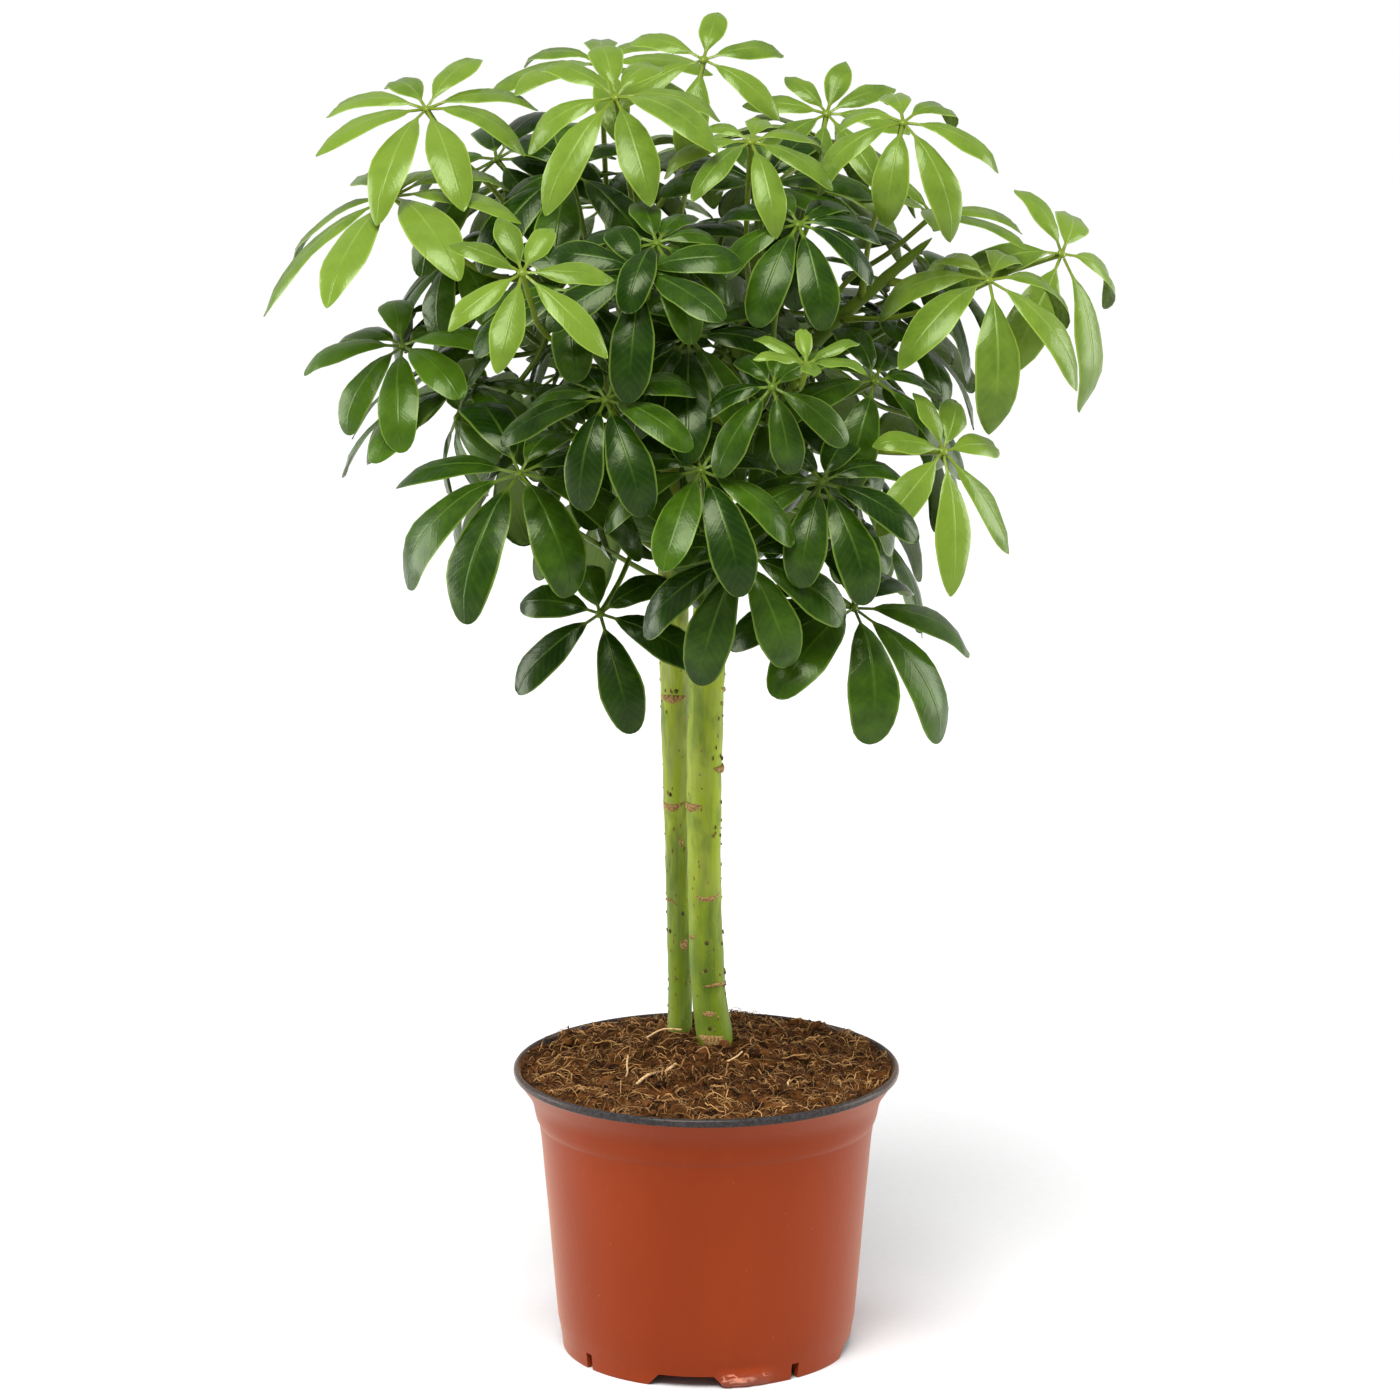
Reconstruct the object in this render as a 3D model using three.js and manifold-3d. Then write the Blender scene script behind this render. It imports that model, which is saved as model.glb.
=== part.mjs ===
// Potted umbrella plant: a Schefflera grown as a little tree on two trunks, in a round nursery pot.
// Millimetres, +Z up, origin at the centre of the pot's flat foot, -Y towards the viewer.
//
// Pieces: the pot, the soil that fills it, two trunks with their shoots, and one compound leaf
// a node. A compound leaf is a long stalk, a hub, and six to eight leaflets spread like the ribs
// of an umbrella. A row of LEAVES says where a leaf's hub is and which way it faces; the leaves on
// the far side of the crown follow a rule instead. Leaflets that would touch something already
// standing are bent clear of it.

import * as THREE from "three";
import { mergeVertices } from "three/addons/utils/BufferGeometryUtils.js";
import Module from "manifold-3d";

const wasm = await Module();
wasm.setup();

// ---------------------------------------------------------------- driving dimensions

const POT = {
  footRadius: 52.6,
  footRing: 1.8, // width of the ring that the pot stands on
  footSlope: 1.2,
  wall: 1.1,
  floor: 4.8, // height of the floor's underside above the surface it stands on
  dishRadius: 17, // the pressed-down middle of the floor, which touches the surface
  dishSlope: 2,
  dishWall: 0.6,
  segments: 30,
};
const SOIL = {
  edge: 104.2, // height where the soil meets the wall
  rise: 6.5,
  riseRadius: 30,
  middle: [-3, 17],
  lump: 0.7, // half height of the small lumps, which are waves across each other
  wave: { x: 0.31, start: 1, y: 0.27 },
  slantWave: { x: 0.13, y: -0.17 },
  rings: [57, 45, 34, 23, 12, 0],
  gap: 0.4,
  segments: 20,
};
const TRUNK_FOOT = 62; // height in the pot where the trunks start
const TRUNK_ROD = { stations: 9, sides: 9 };
const TRUNK_HOLE = { spare: 0.95, stations: 4, sides: 12 };
const STEM_GAP = 0.35; // between a leaf stalk's foot and the shoot that it grows from
const STALK = {
  radius: 1.25,
  root: 0.7, // how far its slanting foot needs to stand off
  lean: 0.5, // how much it first follows the shoot, against outwards
  pull: 0.3, // length of each end's straight pull, as a part of its reach
  fromBehind: 0.9, // how much it comes into the hub from behind
  intoHub: -0.24,
  stations: 3,
  sides: 3,
};
const HUB = { radius: 1.8, top: 1.2, bottom: -0.8, guard: 3.6 };
const RIB = 1.4; // height of a leaflet's middle above its edges
const LEAFLET_STALK = { part: 0.15, halfWidth: 0.8 };
const SHORTER_UPHILL = 0.56; // how much shorter the top leaflet of a leaf that faces sideways is
const CLEAR = 0.7; // gap kept between leaves
const CLEAR_WITHIN = 0.25; // gap kept between leaflets of one leaf
const GOLDEN = 0.6180339887;
const SAME_POINT = 1e-4; // corners closer than this are one
const COLOUR = { pot: "#a8482c", soil: "#4a2f1c" };
const ROUGHNESS = { pot: 0.42, soil: 0.95, trunk: 0.6, leaf: 0.4 };

// Young leaflets are pointed at both ends, full-grown ones are blunt and widest towards the tip.
const KINDS = {
  young: { colour: "#7fae35", width: 0.29, shift: 1.08, blunt: 0.7 },
  grown: { colour: "#2f6a2c", width: 0.34, shift: 1.32, blunt: 0.46 },
};

// ---------------------------------------------------------------- small helpers

const vec = (x, y, z) => new THREE.Vector3(x, y, z);
const radians = THREE.MathUtils.degToRad;
const UP = vec(0, 0, 1);

// A spread of values from -0.5 to 0.5 that never bunches: the golden ratio's multiples.
const vary = (i) => ((i + 1) * GOLDEN) % 1 - 0.5;

function direction(azimuth, elevation) {
  const flat = Math.cos(radians(elevation));
  return vec(
    flat * Math.cos(radians(azimuth)),
    flat * Math.sin(radians(azimuth)),
    Math.sin(radians(elevation)),
  );
}

function indexed(points, faces) {
  const geometry = new THREE.BufferGeometry();
  geometry.setAttribute(
    "position",
    new THREE.Float32BufferAttribute(points.flatMap((p) => [p.x, p.y, p.z]), 3),
  );
  geometry.setIndex(faces.flat());
  return geometry;
}

function solidOf(geometry) {
  const bare = geometry.clone();
  bare.deleteAttribute("normal");
  bare.deleteAttribute("uv");
  const merged = mergeVertices(bare, SAME_POINT);
  return new wasm.Manifold(
    new wasm.Mesh({
      numProp: 3,
      vertProperties: merged.attributes.position.array,
      triVerts: new Uint32Array(merged.index.array),
    }),
  );
}

function geometryOf(solid) {
  const mesh = solid.getMesh();
  const geometry = new THREE.BufferGeometry();
  geometry.setAttribute("position", new THREE.BufferAttribute(mesh.vertProperties, 3));
  geometry.setIndex(new THREE.BufferAttribute(mesh.triVerts, 1));
  geometry.computeVertexNormals();
  return geometry;
}

function placedMesh(name, solid, colour, roughness) {
  const material = new THREE.MeshStandardMaterial({ color: colour, roughness, metalness: 0 });
  const mesh = new THREE.Mesh(geometryOf(solid), material);
  mesh.name = name;
  return mesh;
}

// A closed rod along a curve, with a radius for each station and flat ends.
function rod(curve, radiusAt, stations, sides) {
  const frames = curve.computeFrenetFrames(stations, false);
  const points = [];
  for (let i = 0; i <= stations; i++) {
    const centre = curve.getPointAt(i / stations);
    const radius = radiusAt(i / stations);
    for (let k = 0; k < sides; k++) {
      const turn = (2 * Math.PI * k) / sides;
      points.push(
        centre
          .clone()
          .addScaledVector(frames.normals[i], radius * Math.cos(turn))
          .addScaledVector(frames.binormals[i], radius * Math.sin(turn)),
      );
    }
  }
  const faces = [];
  for (let i = 0; i < stations; i++) {
    for (let k = 0; k < sides; k++) {
      const a = i * sides + k;
      const b = i * sides + ((k + 1) % sides);
      faces.push([a, b, b + sides], [a, b + sides, a + sides]);
    }
  }
  const last = stations * sides;
  for (let k = 1; k < sides - 1; k++) {
    faces.push([0, k + 1, k], [last, last + k, last + k + 1]);
  }
  return indexed(points, faces);
}

// ---------------------------------------------------------------- pot

// Outer wall as radius and height, from the foot to under the rim: straight, then a narrow
// step, the flare that stiffens the mouth, and the lip.
const POT_WALL = [
  [POT.footRadius, 0],
  [53.6, 7],
  [55.2, 22],
  [57.7, 53],
  [59.8, 77],
  [60.7, 84],
  [61.6, 85.4],
  [62.2, 88.5],
  [62.9, 91.8],
  [65.4, 97.2],
  [69, 102],
  [70, 103.8],
  [69.9, 104.7],
  [69.1, 105.5],
];
const POT_INSIDE = [
  [68.1, 105.1],
  [67.3, 102.4],
  [63.1, 95.2],
  [61.3, 90],
  [59.3, 81],
  [52.3, 6],
];
const NOTCH = { count: 4, first: -98, width: 20, flare: 5, height: 4.5 };
const SLIT = { width: 3.2, height: 6 };
const FOOT_CUT = { below: 1, depth: 8 }; // how far a cut starts under the foot, and how deep it goes

// A prism that cuts the foot's wall at one azimuth, wider at the bottom by `flare` a side.
function footCut(azimuth, width, flare, height) {
  const { below, depth } = FOOT_CUT;
  const half = width / 2;
  const shape = new THREE.Shape([
    new THREE.Vector2(-half - flare, -below),
    new THREE.Vector2(half + flare, -below),
    new THREE.Vector2(half, height),
    new THREE.Vector2(-half, height),
  ]);
  const cut = new THREE.ExtrudeGeometry(shape, { depth, bevelEnabled: false });
  cut.rotateX(Math.PI / 2).translate(0, depth / 2 - POT.footRadius, 0);
  cut.rotateZ(radians(azimuth + 90));
  return solidOf(cut);
}

function makePot() {
  const under = [
    [0, 0],
    [POT.dishRadius, 0],
    [POT.dishRadius + POT.dishSlope, POT.floor],
    [POT.footRadius - POT.footRing - POT.footSlope, POT.floor],
    [POT.footRadius - POT.footRing, 0],
  ];
  const floorTop = POT.floor + POT.wall;
  const dish = POT.dishRadius - POT.dishWall;
  const above = [
    [dish + POT.dishSlope, floorTop],
    [dish, POT.wall],
    [0, POT.wall],
  ];
  const profile = [...under, ...POT_WALL, ...POT_INSIDE, ...above];
  const turned = new THREE.LatheGeometry(
    profile.map(([r, z]) => new THREE.Vector2(r, z)),
    POT.segments,
  );
  let pot = solidOf(turned.rotateX(Math.PI / 2));
  for (let i = 0; i < NOTCH.count; i++) {
    const azimuth = NOTCH.first + (360 * i) / NOTCH.count;
    pot = pot.subtract(footCut(azimuth, NOTCH.width, NOTCH.flare, NOTCH.height));
    const between = azimuth + 180 / NOTCH.count;
    pot = pot.subtract(footCut(between, SLIT.width, 0, SLIT.height));
  }
  return placedMesh("pot", pot, COLOUR.pot, ROUGHNESS.pot);
}

// ---------------------------------------------------------------- trunks and shoots

// Each trunk is a list of [x, y, z, radius] from its foot to where it was once pruned. Its
// shoots leave the last point but one, and end in a bud.
const TRUNKS = {
  trunk_right: {
    colour: "#8fae45",
    line: [
      [4.5, 13, TRUNK_FOOT, 6.2],
      [3.4, 13, 108, 6.2],
      [1, 12, 128, 6],
      [-0.7, 10, 171, 5.8],
      [-0.2, 7, 237, 6.1],
      [3, 2, 300, 5.6],
      [6, -2, 338, 4.8],
      [8, -4, 350, 4.2],
    ],
    shoots: {
      right: [[45, -6, 378], [79, -5, 408]],
      crest: [[15, -8, 385], [20, -12, 428]],
      right_back: [[24, 30, 375], [34, 58, 402]],
      right_front: [[22, -38, 350], [38, -60, 378]],
    },
    scars: [[-40, 226], [-120, 210], [-85, 171], [-50, 135], [-110, 117], [60, 190]],
  },
  trunk_left: {
    colour: "#7fa53c",
    line: [
      [-10.5, 24, TRUNK_FOOT, 4.1],
      [-9.8, 24, 108, 4.1],
      [-9.6, 23.5, 128, 4.1],
      [-10.2, 22, 171, 4.3],
      [-11.6, 19, 237, 4.9],
      [-13, 14, 300, 4.6],
      [-14, 10, 330, 4.2],
      [-15, 9, 342, 3.8],
    ],
    shoots: {
      left: [[-42, 4, 372], [-70, -4, 402]],
      left_front: [[-28, -28, 350], [-38, -62, 372]],
      left_back: [[-28, 38, 370], [-40, 66, 398]],
      left_crest: [[-20, 8, 380], [-26, 8, 432]],
    },
    scars: [[-110, 250], [-100, 208], [-120, 167], [-80, 148], [80, 180]],
  },
};
const SHOOT = { foot: 3.4, tip: 1.7, bud: 0.7, sides: 5, stations: 5 };
const SCAR = { wide: 3.6, tall: 1.1, proud: 0.9, sunk: 0.27 };
const LEAF_SITES = {
  onTrunk: [282, 294, 306, 318], // heights
  onShoot: [0.3, 0.4, 0.5, 0.6, 0.7, 0.8, 0.88, 0.96], // parts of its length
};

function shootCurve(trunk, bends) {
  const [x, y, z] = trunk.line.at(-2);
  return new THREE.CatmullRomCurve3([vec(x, y, z), ...bends.map((p) => vec(...p))]);
}

function trunkPointAt(trunk, height) {
  const i = Math.max(1, trunk.line.findIndex((p) => p[2] >= height));
  const [low, high] = [trunk.line[i - 1], trunk.line[i]];
  const part = (height - low[2]) / (high[2] - low[2]);
  return low.map((value, k) => THREE.MathUtils.lerp(value, high[k], part));
}

function makeTrunk(trunk) {
  const curve = new THREE.CatmullRomCurve3(trunk.line.map(([x, y, z]) => vec(x, y, z)));
  const foot = trunk.line[0][2];
  const top = trunk.line.at(-1)[2];
  const radiusAt = (part) => trunkPointAt(trunk, Math.min(top, foot + part * (top - foot)))[3];
  let solid = solidOf(rod(curve, radiusAt, TRUNK_ROD.stations, TRUNK_ROD.sides));
  for (const bends of Object.values(trunk.shoots)) {
    const shoot = shootCurve(trunk, bends);
    const slim = (part) => (part < 1 ? THREE.MathUtils.lerp(SHOOT.foot, SHOOT.tip, part) : SHOOT.bud);
    solid = solid.add(solidOf(rod(shoot, slim, SHOOT.stations, SHOOT.sides)));
  }
  for (const [azimuth, height] of trunk.scars) {
    const [x, y, z, radius] = trunkPointAt(trunk, height);
    const scar = new THREE.OctahedronGeometry(1, 0).scale(SCAR.proud, SCAR.wide, SCAR.tall);
    scar.translate(radius - SCAR.sunk, 0, 0).rotateZ(radians(azimuth)).translate(x, y, z);
    solid = solid.add(solidOf(scar));
  }
  return solid;
}

// The places along a stem where a leaf stalk may start, with the stem's radius there.
function leafSites() {
  const sites = [];
  for (const trunk of Object.values(TRUNKS)) {
    for (const height of LEAF_SITES.onTrunk) {
      const [x, y, z, radius] = trunkPointAt(trunk, height);
      sites.push({ point: vec(x, y, z), along: UP.clone(), radius });
    }
    for (const bends of Object.values(trunk.shoots)) {
      const shoot = shootCurve(trunk, bends);
      for (const part of LEAF_SITES.onShoot) {
        sites.push({
          point: shoot.getPointAt(part),
          along: shoot.getTangentAt(part),
          radius: THREE.MathUtils.lerp(SHOOT.foot, SHOOT.tip, part),
        });
      }
    }
  }
  return sites;
}

// ---------------------------------------------------------------- soil

// Height of the soil's surface: level at the wall, heaped round the trunks, with small lumps.
function soilHeight(x, y) {
  const [middleX, middleY] = SOIL.middle;
  const away = Math.hypot(x - middleX, y - middleY) / SOIL.riseRadius;
  const { wave, slantWave } = SOIL;
  const wavy = Math.sin(x * wave.x + wave.start) * Math.cos(y * wave.y);
  const lumps = wavy + Math.sin(x * slantWave.x + y * slantWave.y);
  return SOIL.edge + SOIL.rise * Math.exp(-away * away) + SOIL.lump * lumps;
}

// The plain hole that a trunk stands in: the trunk's own lower end, a little wider.
function trunkHole(trunk) {
  const [low, mid, high] = trunk.line;
  const curve = new THREE.CatmullRomCurve3([
    vec(low[0], low[1], low[2] - SOIL.gap),
    vec(mid[0], mid[1], mid[2]),
    vec(high[0], high[1], high[2]),
  ]);
  const radius = low[3] + TRUNK_HOLE.spare;
  return solidOf(rod(curve, () => radius, TRUNK_HOLE.stations, TRUNK_HOLE.sides));
}

// The pot's inner radius at a height.
function insideRadius(height) {
  const i = POT_INSIDE.findIndex(([, z]) => z < height);
  const [high, low] = [POT_INSIDE[i - 1], POT_INSIDE[i]];
  return THREE.MathUtils.lerp(low[0], high[0], (height - low[1]) / (high[1] - low[1]));
}

function makeSoil() {
  const floorTop = POT.floor + POT.wall + SOIL.gap;
  const side = POT_INSIDE.filter(([, z]) => z < SOIL.edge && z > floorTop).reverse();
  const edgeRadius = insideRadius(SOIL.edge) - SOIL.gap;
  const dish = POT.dishRadius - POT.dishWall - SOIL.gap;
  const profile = [
    [0, POT.wall + SOIL.gap],
    [dish, POT.wall + SOIL.gap],
    [dish + POT.dishSlope, floorTop],
    [POT_INSIDE.at(-1)[0] - SOIL.gap, floorTop],
    ...side.map(([r, z]) => [r - SOIL.gap, z]),
    [edgeRadius, SOIL.edge],
    ...SOIL.rings.map((r) => [r, SOIL.edge]),
  ];
  const turned = new THREE.LatheGeometry(
    profile.map(([r, z]) => new THREE.Vector2(r, z)),
    SOIL.segments,
  );
  turned.rotateX(Math.PI / 2);
  const place = turned.attributes.position;
  for (let i = 0; i < place.count; i++) {
    const [x, y, z] = [place.getX(i), place.getY(i), place.getZ(i)];
    if (z > SOIL.edge - SOIL.gap && Math.hypot(x, y) < edgeRadius - SOIL.gap) {
      place.setZ(i, soilHeight(x, y));
    }
  }
  let soil = solidOf(turned);
  for (const trunk of Object.values(TRUNKS)) {
    soil = soil.subtract(trunkHole(trunk));
  }
  return placedMesh("soil", soil, COLOUR.soil, ROUGHNESS.soil);
}

// ---------------------------------------------------------------- leaves

// name, hub [x, y, z], facing [azimuth, elevation], leaflets, longest leaflet, turn of the
// first one from straight down, start angle above the leaf's own plane, bend, kind
const LEAVES = [
  ["top_left", [-97, -20, 455], [-98, 62], 8, 50, -16, 14, 52, "young"],
  ["left_high", [-108, -30, 426], [-150, 68], 8, 60, -10, 6, 44, "young"],
  ["left_dark", [-88, 5, 400], [-165, 58], 8, 46, 0, 5, 60, "grown"],
  ["front_bright", [-61, -120, 413], [-86, 34], 7, 40, -8, 6, 18, "young"],
  ["left_mid", [-106, -20, 372], [-118, 58], 8, 44, -22, 12, 52, "grown"],
  ["left_mid_up", [-92, 10, 382], [-150, 60], 6, 30, 0, 28, 20, "grown"],
  ["left_low", [-85, -10, 356], [-155, 76], 6, 56, -28, 8, 58, "grown"],
  ["left_big", [-64, -70, 336], [-105, 58], 8, 60, -10, 12, 70, "grown"],
  ["upper_left", [-47, -20, 433], [-105, 52], 8, 50, 10, 8, 56, "grown"],
  ["mid_left", [-34, -95, 366], [-108, 45], 8, 45, -12, 12, 62, "grown"],
  ["centre", [-2, -95, 342], [-90, 50], 8, 46, 20, 12, 60, "grown"],
  ["mid_right", [39, -85, 336], [-82, 45], 8, 46, 22, 12, 58, "grown"],
  ["low_centre", [12, -90, 312], [-92, 30], 8, 50, -19, 8, 52, "grown"],
  ["low_left", [-37, -50, 283], [-100, 22], 6, 47, 14, 6, 42, "grown"],
  ["low_right", [51, -55, 286], [-60, 50], 8, 58, -12, 10, 62, "grown"],
  ["right_light", [81, -65, 343], [-50, 28], 7, 47, -13, 6, 30, "young"],
  ["right_high", [97, -45, 399], [-70, 50], 7, 56, -6, 8, 82, "young"],
  ["far_right", [125, 4, 401], [-44, 30], 6, 60, 12, 8, 60, "young"],
  ["shoot_tip", [79, -5, 416], [-30, 62], 6, 40, 0, 22, 34, "young"],
  ["top_right", [67, -50, 454], [-80, 52], 7, 46, -24, 8, 74, "young"],
  ["top_right_back", [42, 0, 451], [-84, 44], 8, 40, -14, 10, 28, "young"],
  ["top_mid_right", [15, -55, 448], [-80, 60], 7, 38, 10, 8, 56, "young"],
  ["top", [-1, -10, 471], [-90, 44], 6, 42, -6, 4, 34, "young"],
  ["top_left_mid", [-31, -45, 462], [-95, 48], 8, 50, 14, 10, 56, "young"],
  ["top_back_left", [-37, 20, 466], [-90, 70], 8, 46, 5, 8, 40, "young"],
  ["upper_centre", [-17, -80, 417], [-90, 55], 8, 38, 20, 8, 50, "grown"],
  ["upper_centre_low", [-22, -90, 409], [-92, 34], 7, 44, -4, 5, 30, "grown"],
  ["upper_right", [31, -70, 422], [-78, 54], 8, 41, 12, 8, 54, "grown"],
  ["young_front", [33, -120, 382], [-90, 65], 6, 24, 0, 30, 25, "young"],
  ["inner_right", [22, -98, 371], [-95, 35], 7, 36, 14, 6, 46, "grown"],
  ["right_mid", [58, -45, 364], [-52, 48], 8, 50, 0, 8, 50, "grown"],
  ["right_behind", [66, 25, 372], [0, 60], 8, 48, 0, 8, 50, "grown"],
  ["low_right_behind", [56, 30, 300], [10, 45], 8, 50, 0, 8, 45, "grown"],
  ["inner_left_low", [-40, -40, 345], [-110, 52], 8, 46, 10, 8, 45, "grown"],
  ["inner_left", [-45, -62, 398], [-110, 50], 8, 46, 0, 8, 45, "grown"],
  ["inner_middle", [-6, -62, 382], [-92, 48], 8, 48, 0, 8, 40, "grown"],
  ["inner_top", [19, -32, 430], [-85, 52], 8, 46, 10, 8, 42, "grown"],
  ["left_behind", [-74, 15, 433], [-130, 52], 8, 54, 0, 8, 45, "grown"],
];

// The far side of the crown: hubs on an ellipsoid, turned by the golden angle from foot to top.
const FAR_SIDE = {
  count: 18,
  centre: [-4, 0, 362],
  radii: [85, 96, 94],
  low: -0.62, // sine of the elevation of the lowest and highest hub
  high: 0.86,
  middle: 90, // azimuth, with the leaves spread as widely to both sides of it
  spread: 176,
  tilt: 42,
  tiltWithHeight: 32,
  youngAbove: 0.45,
  leaflets: 7,
  length: 54,
  shorterOnTop: 10,
  lengthVaries: 8,
  turnVaries: 40,
  rise: 8,
  bend: 45,
};

function farSideLeaves() {
  const rows = [];
  for (let i = 0; i < FAR_SIDE.count; i++) {
    const sine = THREE.MathUtils.lerp(FAR_SIDE.low, FAR_SIDE.high, (i + 0.5) / FAR_SIDE.count);
    const azimuth = FAR_SIDE.middle + FAR_SIDE.spread * vary(i);
    const out = direction(azimuth, (Math.asin(sine) * 180) / Math.PI);
    const hub = FAR_SIDE.centre.map((c, k) => Math.round(c + FAR_SIDE.radii[k] * out.getComponent(k)));
    const facing = [azimuth, FAR_SIDE.tilt + FAR_SIDE.tiltWithHeight * sine];
    const shorter = FAR_SIDE.shorterOnTop * Math.max(0, sine);
    const length = FAR_SIDE.length - shorter + FAR_SIDE.lengthVaries * vary(3 * i);
    const turn = FAR_SIDE.turnVaries * vary(5 * i);
    const kind = sine > FAR_SIDE.youngAbove ? "young" : "grown";
    const { leaflets, rise, bend } = FAR_SIDE;
    rows.push([`back_${i + 1}`, hub, facing, leaflets, length, turn, rise, bend, kind]);
  }
  return rows;
}

// What a leaflet hangs by: part of the way against its leaf's facing and part straight down.
const HANG = { back: 0.65, down: 0.35 };
const VARIES = { turn: 14, rise: 12, bend: 0.6, length: 0.22 };
const DRAW = { perLeaf: 11, rise: 3, bend: 5, length: 7 }; // which value of the spread each one takes

// The line, side and top directions of one leaflet, as an arc that starts at the hub.
function leafletArc(leaf, k, turn, rise, size) {
  const right = UP.clone().cross(leaf.facing).normalize();
  const uphill = leaf.facing.clone().cross(right);
  const seed = DRAW.perLeaf * leaf.number + k;
  const angle = radians(leaf.turn + turn - 90 + (360 * k) / leaf.count + VARIES.turn * vary(seed));
  const out = right.multiplyScalar(Math.cos(angle)).addScaledVector(uphill, Math.sin(angle));
  const lift = radians(leaf.rise + rise + VARIES.rise * vary(seed + DRAW.rise));
  const start = out
    .clone()
    .multiplyScalar(Math.cos(lift))
    .addScaledVector(leaf.facing, Math.sin(lift));
  const hang = leaf.facing.clone().multiplyScalar(-HANG.back).addScaledVector(UP, -HANG.down);
  const inward = hang.addScaledVector(start, -hang.dot(start)).normalize();
  const bend = radians(leaf.droop * (1 + VARIES.bend * vary(seed + DRAW.bend)));
  const downhill = -out.dot(uphill);
  const tilt = Math.hypot(leaf.facing.x, leaf.facing.y);
  const far = 1 - (SHORTER_UPHILL * tilt * (1 - downhill)) / 2;
  const length = leaf.length * size * far * (1 + VARIES.length * vary(seed + DRAW.length));
  const width = leaf.kind.width * size * (leaf.length + length / size) / 2;
  const side = inward.clone().cross(start);
  return { hub: leaf.hub, start, inward, bend, length, width, side };
}

function arcPoint(arc, part) {
  const turned = arc.bend * part;
  const radius = arc.length / arc.bend;
  return arc.hub
    .clone()
    .addScaledVector(arc.start, radius * Math.sin(turned))
    .addScaledVector(arc.inward, radius * (1 - Math.cos(turned)));
}

function arcTop(arc, part) {
  const turned = arc.bend * part;
  return arc.start
    .clone()
    .multiplyScalar(Math.sin(turned))
    .addScaledVector(arc.inward, -Math.cos(turned));
}

// Half the blade's width at a part of its own length.
function halfWidth(kind, width, part) {
  return (width / 2) * Math.sin(Math.PI * part ** kind.shift) ** kind.blunt;
}

const BLADE_STATIONS = [0.3, 0.62, 0.9];

// Three points, right, left and rib, at each station from the stalk to near the tip.
function leafletSections(arc, kind) {
  const sections = [[LEAFLET_STALK.part, LEAFLET_STALK.halfWidth]];
  for (const part of BLADE_STATIONS) {
    const along = LEAFLET_STALK.part + (1 - LEAFLET_STALK.part) * part;
    sections.push([along, halfWidth(kind, arc.width, part)]);
  }
  return sections.map(([along, half]) => section(arc, along, half));
}

function section(arc, along, half) {
  const middle = arcPoint(arc, along);
  return [
    middle.clone().addScaledVector(arc.side, half),
    middle.clone().addScaledVector(arc.side, -half),
    middle.clone().addScaledVector(arcTop(arc, along), RIB),
  ];
}

// Faces of a run of three-cornered sections that ends in a point. `rings` are point numbers.
function leafletFaces(rings, tip) {
  const faces = [];
  for (let i = 0; i + 1 < rings.length; i++) {
    for (let k = 0; k < 3; k++) {
      const [a, b] = [rings[i][k], rings[i][(k + 1) % 3]];
      const [c, d] = [rings[i + 1][k], rings[i + 1][(k + 1) % 3]];
      faces.push([a, d, c], [a, b, d]);
    }
  }
  for (let k = 0; k < 3; k++) {
    faces.push([rings.at(-1)[k], rings.at(-1)[(k + 1) % 3], tip]);
  }
  return faces;
}

// One leaflet from just outside the hub, to be tested against its neighbours.
function leafletSolid(arc, kind) {
  const foot = section(arc, HUB.guard / arc.length, LEAFLET_STALK.halfWidth);
  const points = [foot, ...leafletSections(arc, kind)].flat();
  const rings = [];
  for (let i = 0; i < points.length; i += 3) {
    rings.push([i, i + 1, i + 2]);
  }
  points.push(arcPoint(arc, 1));
  return solidOf(indexed(points, [[0, 2, 1], ...leafletFaces(rings, points.length - 1)]));
}

// All leaflets and the hub in one closed skin: each leaflet starts on its own side of a low
// pyramid, whose base has a corner between each two neighbours.
function umbrellaSolid(leaf, arcs) {
  const outs = arcs.map((arc) => arc.start.clone().projectOnPlane(leaf.facing).normalize());
  const points = outs.map((out, i) => {
    const before = outs[(i + outs.length - 1) % outs.length];
    const corner = out.clone().add(before).setLength(HUB.radius);
    return corner.addScaledVector(leaf.facing, HUB.bottom).add(leaf.hub);
  });
  const top = points.length;
  points.push(leaf.hub.clone().addScaledVector(leaf.facing, HUB.top));
  const faces = [];
  arcs.forEach((arc, i) => {
    const rings = [[i, (i + 1) % arcs.length, top]];
    for (const corners of leafletSections(arc, leaf.kind)) {
      rings.push([points.length, points.length + 1, points.length + 2]);
      points.push(...corners);
    }
    points.push(arcPoint(arc, 1));
    faces.push(...leafletFaces(rings, points.length - 1));
  });
  for (let i = 1; i + 1 < arcs.length; i++) {
    faces.push([0, i + 1, i]);
  }
  return solidOf(indexed(points, faces));
}

// The stalk leaves the stem outwards and along it, and comes into the hub from behind.
function stalkCurve(leaf, site) {
  const chord = leaf.hub.clone().sub(site.point);
  const outward = chord.clone().projectOnPlane(site.along).normalize();
  const root = site.point.clone().addScaledVector(outward, site.radius + STEM_GAP + STALK.root);
  const pull = STALK.pull * chord.length();
  const leaving = outward.clone().addScaledVector(site.along, STALK.lean).setLength(pull);
  const arriving = chord.clone().normalize().addScaledVector(leaf.facing, STALK.fromBehind);
  arriving.setLength(pull);
  const inHub = leaf.hub.clone().addScaledVector(leaf.facing, STALK.intoHub);
  return new THREE.CubicBezierCurve3(
    root,
    root.clone().add(leaving),
    inHub.clone().sub(arriving),
    inHub,
  );
}

function boxesApart(a, b, gap) {
  return [0, 1, 2].some((k) => a.min[k] > b.max[k] + gap || b.min[k] > a.max[k] + gap);
}

// What stands already: solids with their boxes, and the number of the leaf that each is in.
const STEM = -1;
const standing = [];

function stand(solid, owner, isLeaflet) {
  standing.push({ solid, box: solid.boundingBox(), owner, isLeaflet });
}

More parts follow.
